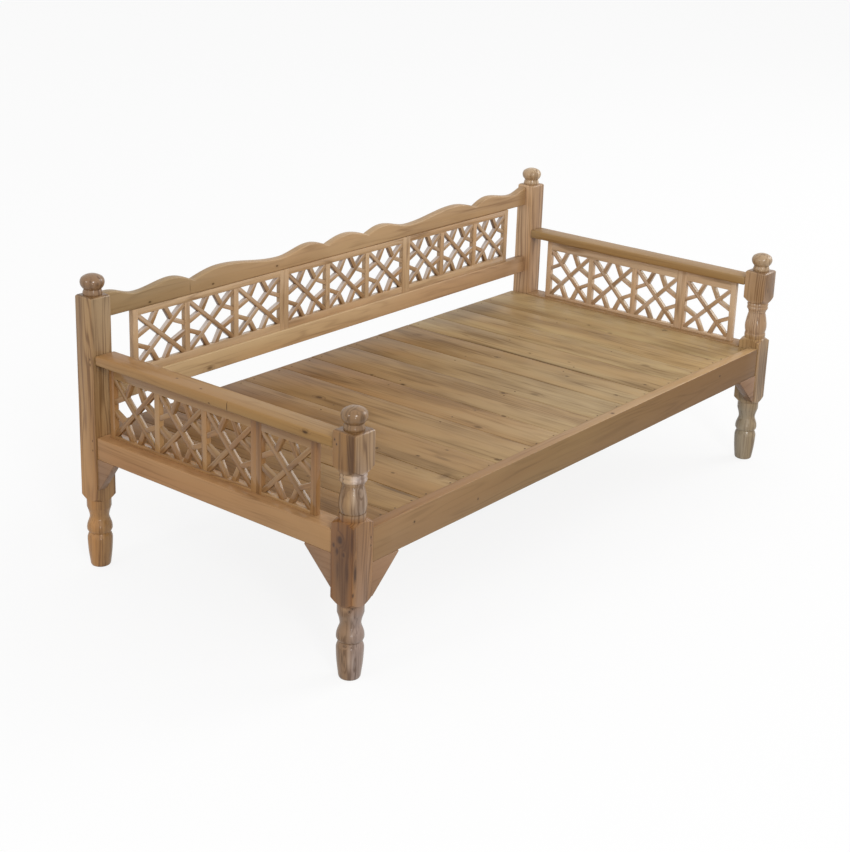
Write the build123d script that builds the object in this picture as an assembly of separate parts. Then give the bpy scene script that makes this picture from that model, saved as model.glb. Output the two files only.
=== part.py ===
from build123d import *

import os

# Persian takht: a wooden daybed with turned posts, lattice panels and a plank deck.
# X runs along the bed, Y from the open front (-Y) to the back (+Y), Z is up.  The origin is on
# the floor under the middle of the bed.  All sizes are in millimetres.

os.makedirs("parts", exist_ok=True)

# --- Overall and posts ---------------------------------------------------------------------
LENGTH = 2000.0  # over the posts, along X
DEPTH = 970.0  # over the posts, along Y
FRONT_POST = 70.0  # square section of the front posts
REAR_POST = 64.0  # square section of the rear posts
FRONT_POST_TOP = 634.0  # height of the front posts without finials
REAR_POST_TOP = 764.0  # height of the rear posts without finials
POST_TOP_CHAMFER = 4.0  # eased edge round each post top
POST_EDGE = 1.5  # eased long corners of the posts

# --- Turned foot: every height is a rise above the feature below ------------------------------
SHOULDER_SLOPE = 1.0  # rise of a shoulder for each mm of radius
TOE_RADIUS = 23.5
TOE_ROUND = 3.0
BARREL_RADIUS = 34.0
BARREL_HEIGHT = 86.0
BARREL_BULGE = 1.5  # how far the barrel's side swells past a straight taper
GROOVE_RADIUS = 28.5
GROOVE_RISE = 12.0
BEAD_RADIUS = 34.0
BEAD_HEIGHT = 32.0
WAIST_RADIUS = 26.0
WAIST_RISE = 13.0
SLEEVE_RADIUS = 33.0
SLEEVE_RISE = 31.0
SLEEVE_HEIGHT = 22.0  # from the foot of the sleeve to the lathe-cut shoulder

# --- Turned baluster of the front posts -------------------------------------------------------
LOWER_BLOCK_TOP = 402.0  # square block of a front post ends here
UPPER_BLOCK_FOOT = 547.0  # and starts again here
BALUSTER_BASE = 11.0  # rise of the lower shoulder of the turned stretch
BASE_RING_RADIUS = 32.0
BASE_RING_HEIGHT = 17.0
BASE_RING_BULGE = 1.0
VASE_FOOT_RADIUS = 30.5
VASE_RADIUS = 34.0
VASE_BELLY_SHARE = 0.38  # height of the belly, as a share of the vase
NECK_RADIUS = 25.5
FILLET_RADIUS = 28.0  # small step between the neck and the two beads under the upper block
FILLET_HEIGHT = 8.0
CAP_RADIUS = 31.5  # of the two beads
CAP_BULGE = 1.6
CAP_BEAD_HEIGHT = 10.5

# --- Finials ----------------------------------------------------------------------------------
FINIAL_SEAT_RADIUS = 24.5  # foot of the collar, on the post
FINIAL_COLLAR_RADIUS = 25.8
FINIAL_COLLAR_RISE = 4.5  # this rise and those below are above the feature before
FINIAL_COLLAR_TOP_RADIUS = 24.3
FINIAL_COLLAR_TOP_RISE = 6.0
FINIAL_NECK_RADIUS = 22.8
FINIAL_NECK_RISE = 4.5
FINIAL_CHEEK_RADIUS = 29.6
FINIAL_CHEEK_RISE = 9.0
FINIAL_BALL_RADIUS = 32.0
FINIAL_BALL_RISE = 11.0
FINIAL_CROWN_RADIUS = 18.5
FINIAL_CROWN_RISE = 16.5
FINIAL_TIP_RISE = 3.5
SPIGOT_RADIUS = 8.0
SPIGOT_LENGTH = 28.0
SPIGOT_CLEARANCE = 0.2  # round the spigot
SPIGOT_BOTTOM_GAP = 2.0  # glue room under the spigot

# --- Rails ------------------------------------------------------------------------------------
FRONT_RAIL_TOP = 388.0
FRONT_RAIL_FOOT = 298.0
FRONT_RAIL_THICK = 32.0
FRONT_RAIL_INSET = 1.0  # behind the post faces
REAR_RAIL_FOOT = 298.0
REAR_RAIL_THICK = 32.0
REAR_RAIL_INSET = 4.0
SIDE_RAIL_TOP = 383.0
SIDE_RAIL_FOOT = 322.0
SIDE_RAIL_INSET = 3.5  # inside the outer faces of the posts
ARM_TOP = 610.0
ARM_THICK = 27.0
ARM_INSET = 3.5
RAIL_EDGE = 1.5  # eased long edges of rails and arms

CREST_DROP = 71.0  # foot of the crest below the top of the rear posts
CREST_THICK = 26.5
CREST_INSET = 8.0  # back face inside the back of the posts

# The wave of the crest: heights are above its foot, places are shares of half its length
VALLEY_HEIGHT = 37.0
NOTCH_HEIGHT = 39.0
CENTRE_HUMP_HEIGHT = 58.0
INNER_HUMP_HEIGHT = 57.0
OUTER_HUMP_HEIGHT = 59.5
END_HUMP_HEIGHT = 60.5
END_VALLEY_HEIGHT = 45.5
CREST_END_HEIGHT = 67.0  # where the crest meets the posts
WAVE_MIDDLE = 0.0235  # the wave is cut this far off the middle
INNER_NOTCH_AT = 0.0972  # these places are measured from the middle of the wave
INNER_HUMP_AT = 0.1763
VALLEY_AT = 0.312
OUTER_HUMP_AT = 0.561
OUTER_NOTCH_AT = 0.6795
END_HUMP_AT = 0.7607
END_VALLEY_AT = 0.8953

BACK_RAIL_FOOT = 457.0
BACK_RAIL_TOP = 511.0
BACK_RAIL_THICK = 28.0
BACK_RAIL_INSET = 15.0

# --- Tenons -----------------------------------------------------------------------------------
TENON_THICK = 11.0
TENON_LENGTH = 30.0
TENON_SHOULDER = 8.0  # above and below a tenon
TENON_CLEARANCE = 0.25

# --- Deck ---------------------------------------------------------------------------------------
DECK_TOP = 380.0
PLANK_THICK = 18.0
PLANK_GAP = 1.2  # between neighbouring planks
WIDE_GAP = 4.0  # two joints that have opened further
WIDE_GAP_AFTER = (2, 9)  # planks with a wide gap on their right
PLANK_END_GAP = 0.5  # plank ends to the front rail, plank edges to the side rails
PLANK_EDGE = 1.0  # eased top edges of the planks
# Widths of the planks on a bed of the length above; another length scales them all
PLANK_WIDTHS = (106.0, 114.0, 148.0, 158.0, 157.0, 131.0, 160.0, 151.0, 148.0, 130.0, 130.0, 130.0, 176.0)
LEDGER_WIDTH = 30.0
LEDGER_HEIGHT = 34.0
BEARER_WIDTH = 46.0
BEARER_HEIGHT = 36.0
BEARER_AT = 150.0  # bearers lie this far from the middle
BEARER_TENON = 15.0

# --- Nails --------------------------------------------------------------------------------------
NAIL_HEAD = 5.0
NAIL_HEAD_THICK = 1.2
NAIL_SHANK = 2.6
NAIL_LENGTH = 42.0
NAIL_EDGE = 26.0  # from a plank's edge to its nails

# --- Brackets -----------------------------------------------------------------------------------
BRACKET_DROP = 88.0  # down the post
FRONT_BRACKET_RUN = 96.0  # along the front rail
SIDE_BRACKET_RUN = 88.0  # along a side rail, at the front post
REAR_BRACKET_RUN = 64.0  # at the rear posts
BRACKET_THICK = 26.0
BRACKET_TIP = 4.0  # blunt ends of the long edge

# --- Lattice ------------------------------------------------------------------------------------
PANEL_THICK = 15.0
STILE_WIDTH = 18.0
BACK_TOP_BAR = 18.0
BACK_BOTTOM_BAR = 22.0
SIDE_TOP_BAR = 33.0
SIDE_BOTTOM_BAR = 9.0
STICK_WIDTH = 13.0
STICK_THICK = 13.0
JUNCTION_SHARE = 0.46  # where short sticks leave a half diagonal
LANDING_SHARE = 0.19  # where they meet a bar or stile, from its middle, of half the opening
CELL_PITCH = 190.0  # a panel gets the number of cells that comes nearest to this width
BACK_PANEL_INSET = 36.0  # front face of the back panels, from the back of the posts
SIDE_PANEL_INSET = 32.0  # outer face of the side panels, from the outside of the posts
BACK_PANEL_SHARES = {"left": 0.3453, "centre": 0.3321, "right": 0.3226}  # of the run of panels
BACK_GAP_LEFT = 97.0  # open gap between a rear post and the nearest panel
BACK_GAP_RIGHT = 101.0
SIDE_LONG_SHARE = 0.73  # the long panel's share of a side's run of panels
SIDE_GAPS = {"left": (24.0, 78.0), "right": (62.0, 40.0)}  # open gaps at the rear and front posts

# --- Derived places -----------------------------------------------------------------------------
FRONT = -DEPTH / 2
BACK = DEPTH / 2
FRONT_POST_INSIDE = LENGTH / 2 - FRONT_POST
REAR_POST_INSIDE = LENGTH / 2 - REAR_POST
SIDE_RAIL_FRONT = FRONT + FRONT_POST
SIDE_RAIL_REAR = BACK - REAR_POST
FOOT_HEIGHT = BARREL_HEIGHT + GROOVE_RISE + BEAD_HEIGHT + WAIST_RISE + SLEEVE_RISE + SLEEVE_HEIGHT
DECK_UNDERSIDE = DECK_TOP - PLANK_THICK
CREST_FOOT = REAR_POST_TOP - CREST_DROP
SIDES = {"left": -1, "right": 1}


def block(x_range, y_range, z_range):
    """A box between two limits on each axis."""
    low = [min(pair) for pair in (x_range, y_range, z_range)]
    size = [abs(pair[1] - pair[0]) for pair in (x_range, y_range, z_range)]
    return Pos(*low) * Box(*size, align=(Align.MIN, Align.MIN, Align.MIN))


def eased(shape, axis, amount):
    """Take the sharpness off the edges that run along one axis."""
    return chamfer(shape.edges().filter_by(axis), amount)


def grown(limits, amount):
    """Widen a pair of limits by the same amount at both ends."""
    return (min(limits) - amount, max(limits) + amount)


# --- Turned profiles ----------------------------------------------------------------------------
def foot_profile():
    """Outline of the turned foot from the toe to the shoulder: a tapered barrel, bead and waist."""
    groove = BARREL_HEIGHT + GROOVE_RISE
    bead_top = groove + BEAD_HEIGHT
    waist = bead_top + WAIST_RISE
    sleeve_foot = waist + SLEEVE_RISE
    bead_middle = groove + BEAD_HEIGHT / 2
    bead_side = WAIST_RADIUS + (BEAD_RADIUS - WAIST_RADIUS) / 2
    barrel_foot = (TOE_RADIUS + TOE_ROUND, TOE_ROUND)
    barrel_middle = ((barrel_foot[0] + BARREL_RADIUS) / 2 + BARREL_BULGE, BARREL_HEIGHT / 2)
    return [
        Line((0, 0), (TOE_RADIUS, 0)),
        RadiusArc((TOE_RADIUS, 0), barrel_foot, -TOE_ROUND),
        ThreePointArc(barrel_foot, barrel_middle, (BARREL_RADIUS, BARREL_HEIGHT)),
        Line((BARREL_RADIUS, BARREL_HEIGHT), (GROOVE_RADIUS, groove)),
        ThreePointArc((GROOVE_RADIUS, groove), (BEAD_RADIUS, bead_middle), (bead_side, bead_top)),
        ThreePointArc((bead_side, bead_top), (WAIST_RADIUS, waist), (SLEEVE_RADIUS, sleeve_foot)),
        Line((SLEEVE_RADIUS, sleeve_foot), (SLEEVE_RADIUS, FOOT_HEIGHT)),
    ]


def baluster_profile():
    """Outline of the turned stretch of a front post: base ring, vase, fillet and two beads."""
    ring_foot = LOWER_BLOCK_TOP + BALUSTER_BASE
    vase_foot = ring_foot + BASE_RING_HEIGHT
    cap_top = UPPER_BLOCK_FOOT - (FRONT_POST / 2**0.5 - CAP_RADIUS) * SHOULDER_SLOPE
    cap_middle = cap_top - CAP_BEAD_HEIGHT
    cap_foot = cap_middle - CAP_BEAD_HEIGHT
    vase_top = cap_foot - FILLET_HEIGHT
    ring_middle = (BASE_RING_RADIUS + BASE_RING_BULGE, (ring_foot + vase_foot) / 2)
    belly = (VASE_RADIUS, vase_foot + (vase_top - vase_foot) * VASE_BELLY_SHARE)
    low_bead = (CAP_RADIUS + CAP_BULGE, (cap_foot + cap_middle) / 2)
    high_bead = (CAP_RADIUS + CAP_BULGE, (cap_middle + cap_top) / 2)
    return [
        ThreePointArc((BASE_RING_RADIUS, ring_foot), ring_middle, (BASE_RING_RADIUS, vase_foot)),
        Line((BASE_RING_RADIUS, vase_foot), (VASE_FOOT_RADIUS, vase_foot)),
        Spline((VASE_FOOT_RADIUS, vase_foot), belly, (NECK_RADIUS, vase_top)),
        Polyline((NECK_RADIUS, vase_top), (FILLET_RADIUS, vase_top), (FILLET_RADIUS, cap_foot)),
        Line((FILLET_RADIUS, cap_foot), (CAP_RADIUS, cap_foot)),
        ThreePointArc((CAP_RADIUS, cap_foot), low_bead, (CAP_RADIUS, cap_middle)),
        ThreePointArc((CAP_RADIUS, cap_middle), high_bead, (CAP_RADIUS, cap_top)),
    ]


def lathe_envelope(profile, low_reach, high_reach):
    """Solid of revolution that a turned stretch fills, open to the full blank past its ends.

    low_reach and high_reach are the rise of the shoulders, or None where there is none.
    """
    blank_radius = FRONT_POST  # clear of the corners of any post
    start = profile[0] @ 0
    end = profile[-1] @ 1
    outline = list(profile)
    if low_reach is not None:
        low = Vector(blank_radius, start.Y - (blank_radius - start.X) * low_reach)
        outline = [Line((0, low.Y), low), Line(low, start)] + outline
    if high_reach is not None:
        high = Vector(blank_radius, end.Y + (blank_radius - end.X) * high_reach)
        outline = outline + [Line(end, high), Line(high, (0, high.Y))]
        end = Vector(0, high.Y)
    first = outline[0] @ 0
    outline.append(Line(end, first))
    return revolve(Plane.XZ * make_face(Wire(Curve() + outline)), Axis.Z)


def turn(blank, profile, low_reach, high_reach):
    """Cut one turned stretch into a square blank that stands on the Z axis."""
    envelope = lathe_envelope(profile, low_reach, high_reach)
    bounds = envelope.bounding_box()
    reach = blank.bounding_box().size.X
    zone = block((-reach, reach), (-reach, reach), (bounds.min.Z, bounds.max.Z))
    return blank - (zone - envelope)


def post_blank(width, top):
    """A square post with eased corners, a chamfered top and a hole for the finial."""
    half = width / 2
    blank = block((-half, half), (-half, half), (0, top))
    blank = chamfer(blank.faces().sort_by(Axis.Z)[-1].edges(), POST_TOP_CHAMFER)
    blank = eased(blank, Axis.Z, POST_EDGE)
    hole_depth = SPIGOT_LENGTH + SPIGOT_BOTTOM_GAP
    hanging = (Align.CENTER, Align.CENTER, Align.MAX)
    hole = Cylinder(SPIGOT_RADIUS + SPIGOT_CLEARANCE, hole_depth, align=hanging)
    return blank - Pos(0, 0, top) * hole


def turned_foot(blank):
    """Turn the foot of a post."""
    return turn(blank, foot_profile(), None, SHOULDER_SLOPE)


def turned_baluster(blank):
    """Turn the stretch between the blocks of a front post."""
    base_slope = BALUSTER_BASE / (FRONT_POST / 2**0.5 - BASE_RING_RADIUS)
    return turn(blank, baluster_profile(), base_slope, SHOULDER_SLOPE)


def finial():
    """A flattened ball on a flared collar, with the spigot that holds it in the post."""
    spigot_end = (SPIGOT_RADIUS, -SPIGOT_LENGTH)
    seat = Vector(FINIAL_SEAT_RADIUS, 0)
    collar = Vector(FINIAL_COLLAR_RADIUS, FINIAL_COLLAR_RISE)
    collar_top = Vector(FINIAL_COLLAR_TOP_RADIUS, collar.Y + FINIAL_COLLAR_TOP_RISE)
    neck = Vector(FINIAL_NECK_RADIUS, collar_top.Y + FINIAL_NECK_RISE)
    cheek = Vector(FINIAL_CHEEK_RADIUS, neck.Y + FINIAL_CHEEK_RISE)
    belly = Vector(FINIAL_BALL_RADIUS, cheek.Y + FINIAL_BALL_RISE)
    crown = Vector(FINIAL_CROWN_RADIUS, belly.Y + FINIAL_CROWN_RISE)
    tip = Vector(0, crown.Y + FINIAL_TIP_RISE)
    outline = [
        Polyline(tip, (0, -SPIGOT_LENGTH), spigot_end, (SPIGOT_RADIUS, 0), seat),
        Spline(seat, collar, collar_top),
        Line(collar_top, neck),
        Spline(neck, cheek, belly, crown),
        TangentArc(tip, crown, tangent=(1, 0)),
    ]
    return revolve(Plane.XZ * make_face(Wire(Curve() + outline)), Axis.Z)


# --- Joinery ------------------------------------------------------------------------------------
def tenon(board, axis, thick_at, reach):
    """Limits of the tenons of a board along X or Y: both ends, thinner and lower than the board.

    board is its three pairs of limits and thick_at the middle of the tenon's thickness.
    """
    along, across = (0, 1) if axis == Axis.X else (1, 0)
    limits = [None, None, grown(board[2], -TENON_SHOULDER)]
    limits[along] = grown(board[along], reach)
    limits[across] = (thick_at - TENON_THICK / 2, thick_at + TENON_THICK / 2)
    return limits


def tenoned_board(board, axis, reach=TENON_LENGTH):
    """A straight board with eased edges and a tenon at each end, and the limits of the tenons."""
    across = 1 if axis == Axis.X else 0
    limits = tenon(board, axis, sum(board[across]) / 2, reach)
    return eased(block(*board), axis, RAIL_EDGE) + block(*limits), limits


def mortise(limits):
    """The hole that takes a tenon, with clearance all round."""
    return block(*[grown(pair, TENON_CLEARANCE) for pair in limits])


# --- Rails --------------------------------------------------------------------------------------
FRONT_RAIL = (
    (-FRONT_POST_INSIDE, FRONT_POST_INSIDE),
    (FRONT + FRONT_RAIL_INSET, FRONT + FRONT_RAIL_INSET + FRONT_RAIL_THICK),
    (FRONT_RAIL_FOOT, FRONT_RAIL_TOP),
)
REAR_RAIL = (
    (-REAR_POST_INSIDE, REAR_POST_INSIDE),
    (BACK - REAR_RAIL_INSET - REAR_RAIL_THICK, BACK - REAR_RAIL_INSET),
    (REAR_RAIL_FOOT, DECK_UNDERSIDE),
)
BACK_RAIL = (
    (-REAR_POST_INSIDE, REAR_POST_INSIDE),
    (BACK - BACK_RAIL_INSET - BACK_RAIL_THICK, BACK - BACK_RAIL_INSET),
    (BACK_RAIL_FOOT, BACK_RAIL_TOP),
)
CREST = (
    (-REAR_POST_INSIDE, REAR_POST_INSIDE),
    (BACK - CREST_INSET - CREST_THICK, BACK - CREST_INSET),
    (CREST_FOOT, CREST_FOOT + VALLEY_HEIGHT),
)


def side_board(sign, inset, z_range):
    """Limits of a rail between a front and a rear post on one side."""
    outer = sign * (LENGTH / 2 - inset)
    inner = sign * FRONT_POST_INSIDE
    return ((min(outer, inner), max(outer, inner)), (SIDE_RAIL_FRONT, SIDE_RAIL_REAR), z_range)


def crest_rail():
    """The top board of the back, its upper edge cut in a wave with two pairs of notches."""
    left, right = CREST[0]
    end_top = CREST_FOOT + CREST_END_HEIGHT

    def at(share, height):
        """A point of the wave, from its share of the half length and its height."""
        return ((WAVE_MIDDLE + share) * right, CREST_FOOT + height)

    def side(sign, end):
        """The wave from the notch beside the middle to the post, on one side."""
        inner_notch = at(sign * INNER_NOTCH_AT, NOTCH_HEIGHT)
        outer_notch = at(sign * OUTER_NOTCH_AT, NOTCH_HEIGHT)
        inner = Spline(
            inner_notch,
            at(sign * INNER_HUMP_AT, INNER_HUMP_HEIGHT),
            at(sign * VALLEY_AT, VALLEY_HEIGHT),
            at(sign * OUTER_HUMP_AT, OUTER_HUMP_HEIGHT),
            outer_notch,
        )
        outer = Spline(
            outer_notch,
            at(sign * END_HUMP_AT, END_HUMP_HEIGHT),
            at(sign * END_VALLEY_AT, END_VALLEY_HEIGHT),
            (end, end_top),
        )
        return [inner, outer]

    notches = [at(sign * INNER_NOTCH_AT, NOTCH_HEIGHT) for sign in (-1, 1)]
    middle = Spline(notches[0], at(0, CENTRE_HUMP_HEIGHT), notches[1])
    edges = side(-1, left) + [middle] + side(1, right)
    edges.append(Polyline((left, end_top), (left, CREST_FOOT), (right, CREST_FOOT), (right, end_top)))
    back_face = Plane((0, CREST[1][1], 0), x_dir=(1, 0, 0), z_dir=(0, -1, 0))
    board = extrude(back_face * make_face(Wire(Curve() + edges)), CREST_THICK)
    limits = tenon(CREST, Axis.X, sum(CREST[1]) / 2, TENON_LENGTH)
    return board + block(*limits), limits


# --- Lattice ------------------------------------------------------------------------------------
def cut_outline(outline, base, normal):
    """Cut a convex outline along a line and keep the part that the normal points away from."""
    kept = []
    for here, there in zip(outline, outline[1:] + outline[:1]):
        a = (here - base).dot(normal)
        b = (there - base).dot(normal)
        if a <= 0:
            kept.append(here)
        if a * b < 0:
            kept.append(here + (there - here) * (a / (a - b)))
    return kept


def strip(outline, start, end):
    """The part of an outline within half a stick's width of a line."""
    along = (end - start).normalized()
    normal = Vector(-along.Y, along.X)
    for side in (normal, normal * -1):
        outline = cut_outline(outline, start + side * (STICK_WIDTH / 2), side)
    return outline


def cell_sticks(width, height):
    """Outlines of the sticks in one cell, about its middle: the crossing pair and eight short ones."""
    half_w, half_h = width / 2, height / 2
    middle = Vector(0, 0)
    corner_signs = ((-1, -1), (1, -1), (1, 1), (-1, 1))
    opening = [Vector(x * half_w, y * half_h) for x, y in corner_signs]
    long_line = Vector(half_w, -half_h)
    long_normal = Vector(half_h, half_w).normalized()
    sticks = [strip(opening, middle, long_line)]
    for sign in (-1, 1):
        half_stick = strip(opening, middle, Vector(half_w, half_h))
        outside = long_normal * sign
        sticks.append(cut_outline(half_stick, outside * (STICK_WIDTH / 2), outside * -1))
    for sx in (-1, 1):
        for sy in (-1, 1):
            junction = Vector(sx * half_w, sy * half_h) * JUNCTION_SHARE
            side = Vector(-sx * half_h, sy * half_w).normalized()
            to_bar = strip(opening, junction, Vector(sx * half_w * LANDING_SHARE, sy * half_h))
            to_bar = cut_outline(to_bar, middle, Vector(-sx, 0))
            to_bar = cut_outline(to_bar, side * (STICK_WIDTH / 2), side * -1)
            to_stile = strip(opening, junction, Vector(sx * half_w, sy * half_h * LANDING_SHARE))
            to_stile = cut_outline(to_stile, middle, Vector(0, -sy))
            to_stile = cut_outline(to_stile, side * (-STICK_WIDTH / 2), side)
            sticks += [to_bar, to_stile]
    return sticks


def lattice_panel(plane, length, height, top_bar, bottom_bar):
    """One panel: its frame of stiles and bars, and the sticks of its cells.

    plane stands at the panel's lower corner, with x along the panel, y up and z through it.  The
    unbroken stick of each cell falls along x.
    """
    cells = max(1, round(length / CELL_PITCH))
    opening_h = height - top_bar - bottom_bar
    opening_w = (length - STILE_WIDTH * (cells + 1)) / cells
    pitch = opening_w + STILE_WIDTH

    def piece(x_range, y_range):
        return plane.location * block(x_range, y_range, (0, PANEL_THICK))

    frame = [
        piece((0, STILE_WIDTH), (0, height)),
        piece((length - STILE_WIDTH, length), (0, height)),
        piece((STILE_WIDTH, length - STILE_WIDTH), (0, bottom_bar)),
        piece((STILE_WIDTH, length - STILE_WIDTH), (height - top_bar, height)),
    ]
    for cell in range(1, cells):
        frame.append(piece((cell * pitch, cell * pitch + STILE_WIDTH), (bottom_bar, height - top_bar)))
    sticks = []
    stick_depth = (PANEL_THICK - STICK_THICK) / 2
    for cell in range(cells):
        centre = Pos(STILE_WIDTH + opening_w / 2 + cell * pitch, bottom_bar + opening_h / 2, stick_depth)
        for outline in cell_sticks(opening_w, opening_h):
            face = make_face(Polyline(*outline, close=True))
            sticks.append(plane.location * centre * extrude(face, STICK_THICK))
    return frame, sticks


def back_panels():
    """The three panels between the crest and the lower back rail."""
    panels = {}
    height = CREST_FOOT - BACK_RAIL_TOP
    start = -REAR_POST_INSIDE + BACK_GAP_LEFT
    run = REAR_POST_INSIDE - BACK_GAP_RIGHT - start
    for name, share in BACK_PANEL_SHARES.items():
        panel_length = run * share
        corner = (start, BACK - BACK_PANEL_INSET + PANEL_THICK, BACK_RAIL_TOP)
        plane = Plane(corner, x_dir=(1, 0, 0), z_dir=(0, -1, 0))
        panels[f"back_panel_{name}"] = lattice_panel(
            plane, panel_length, height, BACK_TOP_BAR, BACK_BOTTOM_BAR
        )
        start += panel_length
    return panels


def side_panels():
    """A long and a short panel under each arm, the long one towards the back."""
    panels = {}
    height = ARM_TOP - ARM_THICK - SIDE_RAIL_TOP
    for name, sign in SIDES.items():
        outer = sign * (LENGTH / 2 - SIDE_PANEL_INSET)
        high_x = outer + PANEL_THICK if sign < 0 else outer
        rear_gap, front_gap = SIDE_GAPS[name]
        rear = SIDE_RAIL_REAR - rear_gap
        run = rear - SIDE_RAIL_FRONT - front_gap
        for kind, share in (("long", SIDE_LONG_SHARE), ("short", 1 - SIDE_LONG_SHARE)):
            panel_length = run * share
            plane = Plane((high_x, rear, SIDE_RAIL_TOP), x_dir=(0, -1, 0), z_dir=(-1, 0, 0))
            panels[f"{name}_panel_{kind}"] = lattice_panel(
                plane, panel_length, height, SIDE_TOP_BAR, SIDE_BOTTOM_BAR
            )
            rear -= panel_length
    return panels


# --- Deck ---------------------------------------------------------------------------------------
LEDGER_Y = (FRONT_RAIL[1][1], FRONT_RAIL[1][1] + LEDGER_WIDTH)


def plank_limits():
    """X limits of each plank, from the left side rail to the right one."""
    joints = range(1, len(PLANK_WIDTHS))
    gaps = [WIDE_GAP if number in WIDE_GAP_AFTER else PLANK_GAP for number in joints] + [0]
    left = -FRONT_POST_INSIDE + PLANK_END_GAP
    scale = (-2 * left - sum(gaps)) / sum(PLANK_WIDTHS)
    limits = []
    for width, gap in zip(PLANK_WIDTHS, gaps):
        limits.append((left, left + width * scale))
        left += width * scale + gap
    return limits


def nail():
    """A cut nail, its head up at the origin."""
    half_head, half_shank = NAIL_HEAD / 2, NAIL_SHANK / 2
    head = block((-half_head, half_head), (-half_head, half_head), (-NAIL_HEAD_THICK, 0))
    return head + block((-half_shank, half_shank), (-half_shank, half_shank), (-NAIL_LENGTH, 0))


def nail_places():
    """X, Y of the nails of each plank: a pair at the front and back and one over each bearer."""
    front_y = sum(LEDGER_Y) / 2
    rear_y = sum(REAR_RAIL[1]) / 2
    places = []
    for number, (left, right) in enumerate(plank_limits()):
        near, far = left + NAIL_EDGE, right - NAIL_EDGE
        first, second = (near, far) if number % 2 else (far, near)
        over_bearers = [(first, -BEARER_AT), (second, BEARER_AT)]
        places.append([(near, front_y), (far, front_y)] + over_bearers + [(near, rear_y), (far, rear_y)])
    return places


def plank(x_range):
    """A deck plank, its long top edges eased."""
    board = block(x_range, (LEDGER_Y[0] + PLANK_END_GAP, BACK), (DECK_UNDERSIDE, DECK_TOP))
    return chamfer(board.faces().sort_by(Axis.Z)[-1].edges().filter_by(Axis.Y), PLANK_EDGE)


# --- Brackets -----------------------------------------------------------------------------------
def bracket(run):
    """A triangular corner block: its corner at the origin, one leg along +X and one down."""
    outline = Polyline(
        (0, 0),
        (run, 0),
        (run, -BRACKET_TIP),
        (BRACKET_TIP, -BRACKET_DROP),
        (0, -BRACKET_DROP),
        close=True,
    )
    return extrude(Plane.XZ * make_face(outline), BRACKET_THICK / 2, both=True)


def brackets():
    """The eight brackets under the rails, each against its post."""
    placed = {}
    front_y = FRONT + FRONT_RAIL_INSET + BRACKET_THICK / 2
    rear_y = BACK - REAR_RAIL_INSET - BRACKET_THICK / 2
    for name, sign in SIDES.items():
        inward = 0 if sign < 0 else 180
        side_x = sign * (LENGTH / 2 - SIDE_RAIL_INSET - BRACKET_THICK / 2)
        front = Pos(sign * FRONT_POST_INSIDE, front_y, FRONT_RAIL_FOOT)
        rear = Pos(sign * REAR_POST_INSIDE, rear_y, REAR_RAIL_FOOT)
        placed[f"bracket_front_{name}"] = front * Rot(0, 0, inward) * bracket(FRONT_BRACKET_RUN)
        placed[f"bracket_rear_{name}"] = rear * Rot(0, 0, inward) * bracket(REAR_BRACKET_RUN)
        side_front = Pos(side_x, SIDE_RAIL_FRONT, SIDE_RAIL_FOOT) * Rot(0, 0, 90)
        side_rear = Pos(side_x, SIDE_RAIL_REAR, SIDE_RAIL_FOOT) * Rot(0, 0, -90)
        placed[f"bracket_side_front_{name}"] = side_front * bracket(SIDE_BRACKET_RUN)
        placed[f"bracket_side_rear_{name}"] = side_rear * bracket(REAR_BRACKET_RUN)
    return placed


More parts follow.
